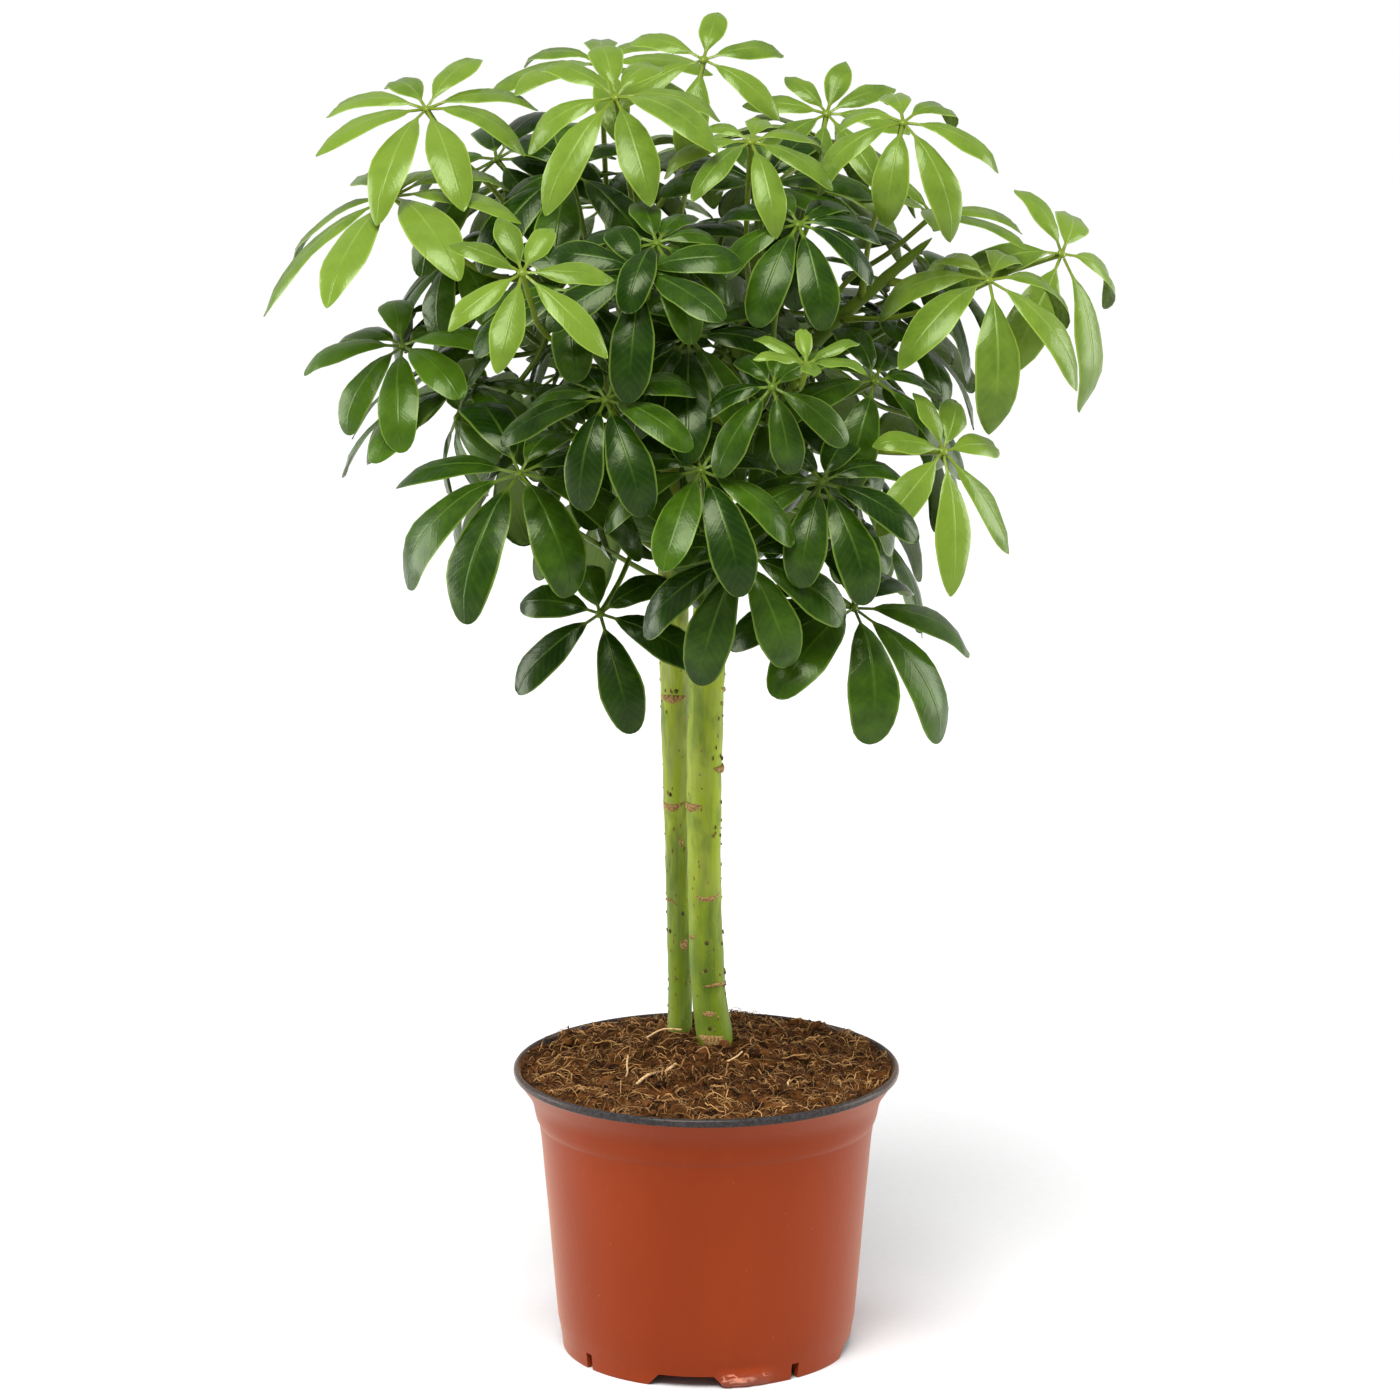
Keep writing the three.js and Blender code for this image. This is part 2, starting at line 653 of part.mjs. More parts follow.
function isClear(solid, owner) {
  const box = solid.boundingBox();
  return standing.every((other) => {
    const own = other.owner === owner;
    if (own && !other.isLeaflet) {
      return true;
    }
    const gap = own || other.owner === STEM ? CLEAR_WITHIN : CLEAR;
    return boxesApart(box, other.box, gap) || solid.minGap(other.solid, gap) >= gap;
  });
}

// The stalk starts from the free site nearest to a point behind the leaf and below it.
const STALK_START = { behind: 43, below: 25 };

function growStalk(leaf, sites) {
  const behind = leaf.hub
    .clone()
    .addScaledVector(leaf.facing, -STALK_START.behind)
    .addScaledVector(UP, -STALK_START.below);
  const free = sites.filter((site) => !site.taken);
  free.sort((a, b) => a.point.distanceTo(behind) - b.point.distanceTo(behind));
  for (const site of free) {
    const curve = stalkCurve(leaf, site);
    const stalk = solidOf(rod(curve, () => STALK.radius, STALK.stations, STALK.sides));
    if (isClear(stalk, leaf.number)) {
      site.taken = true;
      leaf.stalk = stalk;
      stand(stalk, leaf.number, false);
      const guard = new THREE.IcosahedronGeometry(HUB.guard, 0).translate(...leaf.hub);
      stand(solidOf(guard), leaf.number, false);
      return;
    }
  }
  throw new Error(`no clear way for the stalk of ${leaf.name}`);
}

// Turn and lift that are tried in this order for a leaflet, at full size first.
const NUDGES = [
  [0, 0], [0, 9], [0, -9], [8, 0], [-8, 0], [8, 9], [-8, 9], [8, -9], [-8, -9],
  [0, 18], [0, -18], [14, 14], [-14, 14], [14, -14], [-14, -14], [0, 27], [0, -27],
];
const SIZES = [1, 0.86, 0.72];

function growLeaflet(leaf, k) {
  for (const size of SIZES) {
    for (const [turn, rise] of NUDGES) {
      const arc = leafletArc(leaf, k, turn, rise, size);
      const solid = leafletSolid(arc, leaf.kind);
      if (isClear(solid, leaf.number)) {
        stand(solid, leaf.number, true);
        return arc;
      }
    }
  }
  return null;
}

function readLeaf(row, number) {
  const [name, hub, facing, count, length, turn, rise, droop, kind] = row;
  return {
    name: `leaf_${name}`,
    number,
    hub: vec(...hub),
    facing: direction(...facing),
    count,
    length,
    turn,
    rise,
    droop,
    kind: KINDS[kind],
  };
}

// ---------------------------------------------------------------- assembly

const plant = new THREE.Group();
plant.add(makePot());

const trunkSolids = {};
for (const [name, trunk] of Object.entries(TRUNKS)) {
  trunkSolids[name] = makeTrunk(trunk);
  plant.add(placedMesh(name, trunkSolids[name], trunk.colour, ROUGHNESS.trunk));
  stand(trunkSolids[name], STEM, false);
}
plant.add(makeSoil());

const leaves = [...LEAVES, ...farSideLeaves()].map(readLeaf);
const sites = leafSites();
for (const leaf of leaves) {
  growStalk(leaf, sites);
}
for (const leaf of leaves) {
  const arcs = [];
  for (let k = 0; k < leaf.count; k++) {
    const arc = growLeaflet(leaf, k);
    if (arc) {
      arcs.push(arc);
    }
  }
  const solid = umbrellaSolid(leaf, arcs).add(leaf.stalk);
  plant.add(placedMesh(leaf.name, solid, leaf.kind.colour, ROUGHNESS.leaf));
}

export default plant;
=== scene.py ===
# %% [markdown]
# # A potted umbrella plant
#
# A schefflera grown as a little tree: two green trunks stand in a terracotta-coloured nursery pot
# and carry a round crown of compound leaves, each a ring of leaflets on a long stalk.
#
# The CAD model already says where everything stands and how long each leaflet is. Here every part
# gets the surface that the eye expects. The CAD stays the frame: each piece keeps its place and its
# size to within a millimetre or two.

# %% Load the frame
import math
import random

import bpy
import numpy as np
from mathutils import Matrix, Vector, noise


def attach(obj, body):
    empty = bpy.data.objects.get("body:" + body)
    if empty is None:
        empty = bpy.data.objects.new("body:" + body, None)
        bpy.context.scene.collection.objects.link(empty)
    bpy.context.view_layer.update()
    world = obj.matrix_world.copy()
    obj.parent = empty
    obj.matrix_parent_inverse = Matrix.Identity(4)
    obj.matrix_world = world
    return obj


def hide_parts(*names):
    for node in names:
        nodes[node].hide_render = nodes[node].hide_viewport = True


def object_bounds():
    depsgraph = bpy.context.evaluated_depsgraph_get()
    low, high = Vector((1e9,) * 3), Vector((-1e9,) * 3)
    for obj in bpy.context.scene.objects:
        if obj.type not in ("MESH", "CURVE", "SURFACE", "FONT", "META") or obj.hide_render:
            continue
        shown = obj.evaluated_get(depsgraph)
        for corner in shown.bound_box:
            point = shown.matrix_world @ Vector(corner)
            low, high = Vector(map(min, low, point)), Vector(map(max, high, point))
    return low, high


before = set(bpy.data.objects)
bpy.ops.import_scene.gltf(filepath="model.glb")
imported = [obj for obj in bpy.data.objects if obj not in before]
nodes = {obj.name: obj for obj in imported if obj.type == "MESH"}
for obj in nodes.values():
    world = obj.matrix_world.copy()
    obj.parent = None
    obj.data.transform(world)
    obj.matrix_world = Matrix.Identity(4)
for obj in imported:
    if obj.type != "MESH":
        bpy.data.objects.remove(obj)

cad_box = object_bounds()
print("CAD nodes:", len(nodes))

# %% [markdown]
# ## Working by hand, in code
#
# Blender's operators act on whatever is selected, and loading the frame leaves its nodes selected.
# These helpers keep the selection in order: start with nothing, then take up one object.
# Lengths are written in millimetres, as a maker would, and turned into metres in one place.

# %% Small tools
MM = 0.001


def put_down():
    """Leaves edit mode and deselects everything."""
    if bpy.context.object and bpy.context.object.mode != "OBJECT":
        bpy.ops.object.mode_set(mode="OBJECT")
    bpy.ops.object.select_all(action="DESELECT")


def take(*objects):
    """Selects these objects alone. The first is the active one."""
    put_down()
    for one in objects:
        one.select_set(True)
    bpy.context.view_layer.objects.active = objects[0]


def copied(piece):
    """A second object like this one, with a mesh of its own."""
    one = piece.copy()
    one.data = piece.data.copy()
    bpy.context.collection.objects.link(one)
    return one


def close_up(piece, merge=None):
    """Merges points nearer than this, in millimetres, and turns every face outwards."""
    take(piece)
    bpy.ops.object.mode_set(mode="EDIT")
    bpy.ops.mesh.select_all(action="SELECT")
    if merge:
        bpy.ops.mesh.remove_doubles(threshold=merge * MM)
    bpy.ops.mesh.normals_make_consistent(inside=False)
    bpy.ops.object.mode_set(mode="OBJECT")


def points_of(piece):
    flat = np.empty(len(piece.data.vertices) * 3, np.float32)
    piece.data.vertices.foreach_get("co", flat)
    return flat.reshape(-1, 3).astype(float)


def place_points(piece, points):
    piece.data.vertices.foreach_set("co", np.asarray(points, np.float32).ravel())
    piece.data.update()


def mark(piece, name, values):
    """Writes one number for each point, which a material reads as an attribute."""
    data = piece.data.attributes.get(name) or piece.data.attributes.new(name, "FLOAT", "POINT")
    count = len(piece.data.vertices)
    data.data.foreach_set("value", np.broadcast_to(values, count).astype(np.float32))


def joined(pieces, name):
    take(*pieces)
    if len(pieces) > 1:
        bpy.ops.object.join()
    piece = bpy.context.object
    piece.name = piece.data.name = name
    return piece


def smoothstep(low, high, value):
    part = np.clip((value - low) / (high - low), 0, 1)
    return part * part * (3 - 2 * part)


# %% [markdown]
# ## Camera, floor and light
#
# The photograph looks slightly down on the plant from some way off, so the camera has a long lens
# two metres away. The floor is a wide pale disc that fills the picture, and the light is what a
# product studio has: a bright room, a wide soft key light from above, a softbox in front that
# glints on the leaves, and one on each side, a little behind, that draws the upright bands of
# sheen on the pot.

# %% Camera and stage
CAMERA_PLACE = (-0.0023, -2.0, 0.696)
CAMERA_PITCH = math.radians(12.82)
CAMERA_LENS = 147.5
FLOOR_RADIUS = 14

put_down()
bpy.ops.object.camera_add(
    location=CAMERA_PLACE, rotation=(math.pi / 2 - CAMERA_PITCH, 0, 0)
)
camera = bpy.context.object
camera.data.lens = CAMERA_LENS
bpy.context.scene.camera = camera
bpy.context.scene.view_settings.view_transform = "Standard"

put_down()
bpy.ops.mesh.primitive_circle_add(vertices=96, radius=FLOOR_RADIUS, fill_type="NGON")
floor = bpy.context.object
floor.name = "studio_floor"
print("camera:", CAMERA_LENS, "mm lens at", CAMERA_PLACE)

# %% Lights
KEY_TILT = (math.radians(30), math.radians(-7), 0)
KEY_SPREAD = math.radians(36)
KEY_POWER = 3.9
ROOM_POWER = 0.52


def softbox(name, place, aim, size, power):
    put_down()
    bpy.ops.object.light_add(type="AREA", location=place)
    light = bpy.context.object
    light.name = name
    light.data.shape = "RECTANGLE"
    light.data.size, light.data.size_y = size
    light.data.energy = power
    look = Vector(aim) - Vector(place)
    light.rotation_euler = look.to_track_quat("-Z", "Y").to_euler()


softbox("box_left", (-1.6, 0.35, 0.5), (0, 0, 0.2), (0.9, 1.4), 23)
softbox("box_right", (1.6, 0.35, 0.5), (0, 0, 0.2), (0.9, 1.4), 23)
softbox("box_front", (-0.7, -1.5, 1.9), (0, 0, 0.35), (0.8, 0.8), 12)

put_down()
bpy.ops.object.light_add(type="SUN", rotation=KEY_TILT)
key = bpy.context.object
key.name = "key_above"
key.data.angle = KEY_SPREAD
key.data.energy = KEY_POWER

room = bpy.data.worlds.new("studio_room")
bpy.context.scene.world = room
room.use_nodes = True
background = room.node_tree.nodes["Background"]
background.inputs["Color"].default_value = (1, 1, 1, 1)
background.inputs["Strength"].default_value = ROOM_POWER

# %% [markdown]
# ## Shader maths as Python
#
# A material is a graph of nodes, which is slow to read as code. The class `Wire` wraps the output
# of a node, and its operators add Math nodes, so a mask can be written as `1 - edge * 0.5`. The
# class `Finish` is one material: `node` adds any other node, its settings first, then its inputs.


# %% Wire and Finish
class Wire:
    def __init__(self, finish, socket):
        self.finish = finish
        self.socket = socket

    def math(self, operation, *values):
        settings = {"operation": operation}
        return self.finish.node("ShaderNodeMath", settings, dict(enumerate(values)))

    def __add__(self, other):
        return self.math("ADD", self, other)

    def __sub__(self, other):
        return self.math("SUBTRACT", self, other)

    def __rsub__(self, other):
        return self.math("SUBTRACT", other, self)

    def __mul__(self, other):
        return self.math("MULTIPLY", self, other)

    def __abs__(self):
        return self.math("ABSOLUTE", self)

    def __mod__(self, other):
        return self.math("FLOORED_MODULO", self, other)

    def __pow__(self, other):
        return self.math("POWER", self, other)

    __radd__ = __add__
    __rmul__ = __mul__

    def between(self, low, high):
        """0 up to low, 1 from high on, and an even bend from one to the other."""
        settings = {"interpolation_type": "SMOOTHSTEP"}
        inputs = {"Value": self, "From Min": low, "From Max": high}
        return self.finish.node("ShaderNodeMapRange", settings, inputs)


def rgb(red, green, blue):
    """A colour as a paint program gives it, made linear for the shader."""
    parts = [c / 255 for c in (red, green, blue)]
    linear = [c / 12.92 if c <= 0.04045 else ((c + 0.055) / 1.055) ** 2.4 for c in parts]
    return (*linear, 1.0)


class Finish:
    def __init__(self, name):
        self.material = bpy.data.materials.new(name)
        self.material.use_nodes = True
        self.tree = self.material.node_tree
        self.shader = self.tree.nodes["Principled BSDF"]

    def node(self, kind, settings=None, inputs=None, out=0):
        made = self.tree.nodes.new(kind)
        for key, value in (settings or {}).items():
            setattr(made, key, value)
        self.feed(made, inputs or {})
        return Wire(self, made.outputs[out])

    def feed(self, made, inputs):
        for key, value in inputs.items():
            if isinstance(value, Wire):
                self.tree.links.new(value.socket, made.inputs[key])
            else:
                made.inputs[key].default_value = value

    def coordinates(self, stretch=(1, 1, 1)):
        """Object coordinates in metres, stretched where a pattern runs one way."""
        place = self.node("ShaderNodeTexCoord", out="Object")
        if stretch == (1, 1, 1):
            return place
        return self.node("ShaderNodeMapping", None, {"Vector": place, "Scale": stretch})

    def axes(self):
        place = self.coordinates()
        split = self.tree.nodes.new("ShaderNodeSeparateXYZ")
        self.tree.links.new(place.socket, split.inputs[0])
        return [Wire(self, out) for out in split.outputs]

    def speckle(self, scale, detail=3, stretch=(1, 1, 1), roughness=0.5):
        inputs = {
            "Vector": self.coordinates(stretch),
            "Scale": scale,
            "Detail": detail,
            "Roughness": roughness,
        }
        return self.node("ShaderNodeTexNoise", None, inputs)

    def cells(self, scale):
        inputs = {"Vector": self.coordinates(), "Scale": scale}
        return self.node("ShaderNodeTexVoronoi", None, inputs)

    def attribute(self, name):
        return self.node("ShaderNodeAttribute", {"attribute_name": name}, None, "Fac")

    def mix(self, part, first, second):
        inputs = {"Factor": part, 6: first, 7: second}
        return self.node("ShaderNodeMix", {"data_type": "RGBA"}, inputs, 2)

    def bump(self, height, strength, distance):
        inputs = {"Height": height, "Strength": strength, "Distance": distance}
        return self.node("ShaderNodeBump", None, inputs)

    def done(self, **sockets):
        named = {key.replace("_", " "): value for key, value in sockets.items()}
        self.feed(self.shader, named)
        return self.material


# %% The floor's paint
paper = Finish("studio_paper")
tone = paper.speckle(300).between(0.3, 0.7)
colour = paper.mix(tone, rgb(208, 208, 208), rgb(210, 210, 210))
floor.data.materials.append(paper.done(Base_Color=colour, Roughness=0.9))

# %% [markdown]
# ## The pot
#
# The real pot is one thin sheet of plastic drawn over a mould, terracotta outside and dark grey
# inside, with the grey showing on the rolled lip. A turned shape is quickest by spin: an outline
# of the wall, inside and outside, is laid as a closed loop of edges and spun once round. A lathe
# modifier would do too, but spin leaves a plain mesh that can be cut for the foot's notches.

# %% Spin the wall
POT_OUTLINE = [
    (0, 0), (16.6, 0), (17.3, 0.8), (19, 4.8), (49.6, 4.8), (50.8, 0), (52.4, 0), (52.6, 0.4),
    (52.7, 1.3), (52.8, 2.3), (52.9, 3.4), (53, 4.5), (53.2, 5.6), (53.4, 6.9), (53.6, 8.2),
    (53.9, 9.8), (54.3, 12), (55.2, 22), (56.5, 38), (57.7, 53), (58.8, 65), (59.8, 77),
    (60.4, 82), (60.7, 84), (60.8, 84.8), (60.9, 85.2), (61.3, 85.9), (61.7, 86.7),
    (62.2, 88.5), (62.7, 91.2), (63.2, 93.2), (64.2, 95.4), (65.5, 97.5), (66.5, 98.8),
    (67.9, 100.9), (69, 102.1), (69.3, 102.5), (69.8, 102.9), (70, 103.7), (69.9, 104.6),
    (69.5, 105.2), (68.9, 105.5), (68.4, 105.3), (67.9, 104.6), (67.3, 102.5), (65.4, 99),
    (63, 95), (61.3, 90), (59.3, 81), (56.6, 50), (52.3, 7),
    (51.6, 6.2), (50.5, 5.9), (18.4, 5.9), (17.6, 5.4), (16.4, 1.5), (15.8, 1.1), (0, 1.1),
]
POT_STEPS = 160

put_down()
bpy.ops.mesh.primitive_circle_add(vertices=len(POT_OUTLINE), radius=0.05)
pot = bpy.context.object
place_points(pot, [(r * MM, 0, z * MM) for r, z in POT_OUTLINE])
bpy.ops.object.mode_set(mode="EDIT")
bpy.ops.mesh.select_all(action="DESELECT")
bpy.ops.object.mode_set(mode="OBJECT")
for edge in pot.data.edges:
    edge.select = all(pot.data.vertices[i].co.x < MM for i in edge.vertices)
bpy.ops.object.mode_set(mode="EDIT")
bpy.ops.mesh.select_mode(type="EDGE")
bpy.ops.mesh.delete(type="EDGE")
bpy.ops.mesh.select_mode(type="VERT")
bpy.ops.mesh.select_all(action="SELECT")
bpy.ops.mesh.spin(steps=POT_STEPS, angle=2 * math.pi, center=(0, 0, 0), axis=(0, 0, 1))
close_up(pot, 0.02)
print("pot wall:", len(pot.data.polygons), "faces")

# %% [markdown]
# The foot has a wide notch every quarter turn and a slit between each two, so that water can run
# out below. Each cutter starts as a cube at the foot, its lower face widened where the notch
# flares, and a boolean modifier takes it out of the wall.

# %% Cut the foot
NOTCH_FIRST = -98  # degrees round the pot from the right
NOTCH_SIZE = (20, 5, 4.5)  # width, flare to each side and height
SLIT_SIZE = (3.2, 0, 6)
FOOT_RADIUS = 52.6
CUT_DEPTH = 9
CUT_BELOW = -1


def foot_cutter(azimuth, width, flare, height):
    put_down()
    bpy.ops.mesh.primitive_cube_add(size=1, location=(0, 0, 0))
    cutter = bpy.context.object
    box = points_of(cutter)
    low = box[:, 2] < 0
    along = box[:, 0] * (width + 2 * flare * low)
    out = FOOT_RADIUS + box[:, 1] * CUT_DEPTH
    up = np.where(low, CUT_BELOW, height)
    turn = math.radians(azimuth)
    x = out * math.cos(turn) - along * math.sin(turn)
    y = out * math.sin(turn) + along * math.cos(turn)
    place_points(cutter, np.stack([x, y, up], 1) * MM)
    close_up(cutter)
    return cutter


cutters = []
for quarter in range(4):
    azimuth = NOTCH_FIRST + 90 * quarter
    cutters.append(foot_cutter(azimuth, *NOTCH_SIZE))
    cutters.append(foot_cutter(azimuth + 45, *SLIT_SIZE))
cutter = joined(cutters, "foot_cutter")
take(pot)
cut = pot.modifiers.new("foot_cut", "BOOLEAN")
cut.operation, cut.solver, cut.object = "DIFFERENCE", "EXACT", cutter
bpy.ops.object.modifier_apply(modifier=cut.name)
bpy.data.objects.remove(cutter)
pot.name = pot.data.name = "pot_shell"
print("pot with its notches:", len(pot.data.polygons), "faces")

# %% [markdown]
# Right of the front notch the sheet was pinched when the pot left its mould: the foot bulges there
# in a glossy, crumpled fold that runs to the slit. The wall's own points are pushed outwards,
# which keeps the notch's cut edges. The mark `fold` tells the shader where to make it shine with
# a clear coat, and where to paint pale pink streaks along its creases and top: painted highlight.

# %% Crumple the foot
FOLD_TURN = (-84, -62)  # degrees, from the notch to the slit
FOLD_SOFT = (3, 8)  # degrees, half of what it takes to rise and to fade
FOLD_HEIGHT = 6.4
FOLD_BULGE = 1.2
FOLD_CREASE = 0.5
place = points_of(pot) / MM
azimuth = np.degrees(np.arctan2(place[:, 1], place[:, 0]))
height = np.clip(place[:, 2] / FOLD_HEIGHT, 0, 1)
belly = np.sin(np.pi * height)
rise, fade = FOLD_TURN[0], FOLD_TURN[1] - 4
window = smoothstep(rise - FOLD_SOFT[0], rise + FOLD_SOFT[0], azimuth)
window = window * smoothstep(fade + FOLD_SOFT[1], fade - FOLD_SOFT[1], azimuth)
window = window * (np.hypot(place[:, 0], place[:, 1]) > FOOT_RADIUS - 0.4)
bulge = belly**0.7 * (1 + 0.35 * np.sin(azimuth * 0.9))
crease = belly * np.abs(np.sin(height * 6 + azimuth * 0.3))
push = window * (FOLD_BULGE * bulge + FOLD_CREASE * crease)
turn = np.radians(azimuth)
place[:, 0] += push * np.cos(turn)
place[:, 1] += push * np.sin(turn)
place_points(pot, place * MM)
mark(pot, "fold", window * belly)
take(pot)
bpy.ops.object.shade_smooth_by_angle(angle=math.radians(32))
print("foot pushed out by", push.max().round(2), "mm")

# %% [markdown]
# The outside is a satin terracotta plastic, a little uneven in colour because the sheet was drawn
# thin. The dark layer shows from the lip inwards. Both are one material on this piece: the wall's
# radius at each height tells the shader which side it is on. A faint orange sheen lightens the
# wall where it turns away, as the lit haze on such plastic does, and a clear coat wets the fold.

# %% The pot's plastic
plastic = Finish("pot_plastic")
x, y, z = plastic.axes()
radius = (x * x + y * y) ** 0.5
cloud = plastic.speckle(26, 4, (1, 1, 0.35))
grain = plastic.speckle(900, 2)
terracotta = plastic.mix(cloud.between(0.3, 0.7), rgb(122, 43, 15), rgb(130, 48, 19))
charcoal = plastic.mix(grain.between(0.35, 0.7), rgb(38, 38, 40), rgb(56, 56, 58))
fold = plastic.attribute("fold")
wall_middle = 0.0525 + z * 0.0905  # radius halfway through the wall, in metres
inside = (radius - wall_middle).between(0.0003, -0.0003)
lip = z.between(0.1024, 0.1027)
dark = inside.math("MAXIMUM", inside * z.between(0.006, 0.007), lip)
dust = plastic.cells(260).between(0.055, 0.03) * plastic.speckle(40).between(0.56, 0.62)
colour = plastic.mix(dark, terracotta, charcoal)
colour = plastic.mix(dust * 0.5, colour, rgb(170, 140, 122))
ridges = abs(plastic.speckle(110, 2, (1, 1, 2.6)) - 0.5)
# painted highlight: pale pink streaks along the fold's creases and along its top
crest_highlight = fold.between(0.8, 0.95) * plastic.speckle(160, 2).between(0.42, 0.56)
crease_highlight = fold.between(0.25, 0.6) * (1 - ridges.between(0, 0.03))
painted_fold_highlight = crease_highlight.math("MAXIMUM", crease_highlight, crest_highlight)
colour = plastic.mix(painted_fold_highlight * 0.6, colour, rgb(222, 150, 122))
rough = 0.3 + cloud * 0.08 - dark * 0.08
bump = plastic.bump(grain + cloud * 3 + fold * ridges * 60, 0.25, 0.0002)
pot.data.materials.append(plastic.done(
    Base_Color=colour, Roughness=rough, Coat_Weight=fold * 0.9, Coat_Roughness=0.12, Normal=bump,
    Specular_IOR_Level=0.15, Specular_Tint=rgb(255, 224, 196),
    Sheen_Weight=0.22, Sheen_Roughness=0.4, Sheen_Tint=rgb(255, 186, 128),
))
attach(pot, "root")
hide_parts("pot")

# %% [markdown]
# ## The soil
#
# Peat and coir: a lumpy brown bed, crumbs on it, and a felt of thin tan fibres. The bed is a
# circle drawn inwards ring by ring, which puts its rows along the wall, then roughened with
# fractal noise. Displacing it in the shader alone would leave the outline at the lip smooth.

# %% The bed
SOIL_EDGE = 104.2
SOIL_MIDDLE = (-3.0, 17.0)
SOIL_RADIUS = 67.2
HEAP_RADIUS = 30
HEAP_HEIGHT = 6.5
BED_RINGS = 84
BED_SIDES = 360


def soil_height(x, y):
    """Level at the wall and heaped round the trunks, as in the CAD, in millimetres."""
    away = np.hypot(x - SOIL_MIDDLE[0], y - SOIL_MIDDLE[1]) / HEAP_RADIUS
    lumps = np.sin(x * 0.31 + 1) * np.cos(y * 0.27) + np.sin(x * 0.13 - y * 0.17)
    return SOIL_EDGE + HEAP_HEIGHT * np.exp(-away * away) + 0.7 * lumps


def roughness_at(x, y):
    """Clods and crumbs of the bed's surface, in millimetres."""
    clods = noise.fractal((x * 0.13, y * 0.13, 0.3), 0.6, 2.1, 5)
    pits = noise.turbulence((x * 0.36, y * 0.36, 4.0), 3, True)
    clump = 2.6 * math.exp(-((x + 51) ** 2 + (y - 36) ** 2) / 40)  # one large clump at the left
    return 2.2 * (clods - pits) + 1.1 + clump


put_down()
bpy.ops.mesh.primitive_circle_add(vertices=BED_SIDES, radius=SOIL_RADIUS * MM)
bed = bpy.context.object
bpy.ops.object.mode_set(mode="EDIT")
bpy.ops.mesh.select_all(action="SELECT")
for ring in range(1, BED_RINGS):
    smaller = (BED_RINGS - ring) / (BED_RINGS - ring + 1)
    bpy.ops.mesh.extrude_region_move()
    bpy.ops.transform.resize(value=(smaller, smaller, 1))
bpy.ops.mesh.merge(type="CENTER")
bpy.ops.object.mode_set(mode="OBJECT")
place = points_of(bed) / MM
lift = np.array([roughness_at(px, py) for px, py in place[:, :2]])
edge = smoothstep(SOIL_RADIUS, SOIL_RADIUS - 5, np.hypot(place[:, 0], place[:, 1]))
place[:, 2] = soil_height(place[:, 0], place[:, 1]) + lift * (0.4 + 0.6 * edge)
place_points(bed, place * MM)
print("bed:", len(bed.data.polygons), "faces, height", np.ptp(place[:, 2]).round(1), "mm")

# %% Down the wall to the floor
BED_SIDE = [(66.7, 102.2), (62.5, 95), (60.8, 90), (58.8, 81), (51.9, 6.4)]
take(bed)
rim = np.hypot(place[:, 0], place[:, 1]) > SOIL_RADIUS - 0.01
bed.data.vertices.foreach_set("select", rim)
bpy.ops.object.mode_set(mode="EDIT")
bpy.ops.mesh.select_mode(type="VERT")
for _ in BED_SIDE:
    bpy.ops.mesh.extrude_region_move()
    bpy.ops.transform.translate(value=(0, 0, -MM))
bpy.ops.mesh.edge_face_add()
bpy.ops.object.mode_set(mode="OBJECT")
place = points_of(bed) / MM
top = len(place) - BED_SIDES * len(BED_SIDE)
for step, (side_radius, height) in enumerate(BED_SIDE):
    ring = slice(top + BED_SIDES * step, top + BED_SIDES * (step + 1))
    flat = place[ring, :2]
    place[ring, :2] = flat / np.linalg.norm(flat, axis=1, keepdims=True) * side_radius
    place[ring, 2] = height
place_points(bed, place * MM)
close_up(bed)
bpy.ops.object.shade_smooth()
bed.name = bed.data.name = "soil_bed"
print("bed with its side:", len(bed.data.polygons), "faces")

# %% [markdown]
# Crumbs are one small icosphere, dented by noise, copied and turned over the bed. They are what
# makes the surface read as earth, because each throws its own small shadow.

# %% Crumbs
CRUMBS = 640
draw = random.Random(7)


def scattered(reach):
    """An even spread over the bed, in millimetres."""
    away = reach * math.sqrt(draw.random())
    turn = draw.uniform(0, 2 * math.pi)
    x, y = away * math.cos(turn), away * math.sin(turn)
    return x, y, float(soil_height(x, y)) + roughness_at(x, y)


put_down()
bpy.ops.mesh.primitive_ico_sphere_add(subdivisions=2, radius=1)
crumb = bpy.context.object
ball = points_of(crumb)
copies = []
for number in range(CRUMBS):
    x, y, z = scattered(65)
    size = 0.45 + 1.9 * draw.random() ** 3
    seed = Vector((number * 1.7, 0.3, number * 0.9))
    dents = np.array([1 + 0.6 * noise.noise(Vector(p) * 1.6 + seed) for p in ball])
    turn = draw.uniform(0, math.pi)
    shape = ball * dents[:, None] * (1.25, 0.85, 0.7)
    flat = shape[:, :2] @ np.array(
        [[math.cos(turn), math.sin(turn)], [-math.sin(turn), math.cos(turn)]]
    )
    one = copied(crumb)
    body = np.stack([flat[:, 0] + x / size, flat[:, 1] + y / size, shape[:, 2] + z / size], 1)
    place_points(one, body * size * MM)
    mark(one, "shade", draw.random())
    copies.append(one)
bpy.data.objects.remove(crumb)
crumbs = joined(copies, "soil_crumbs")
bpy.ops.object.shade_smooth()
print("crumbs:", CRUMBS, "with", len(crumbs.data.polygons), "faces")

# %% [markdown]
# ## Round stems of every size
#
# Fibres, roots, trunks, shoots and leaf stalks are all round things that follow a line. Blender's
# curve is made for that: points with a radius each, a round bevel, then converted to a mesh. The
# line through a few given points is the same centripetal spline that the CAD uses, so a stem here
# stands where its solid does.


# %% Splines and tubes
SPLINE_STEPS = 24


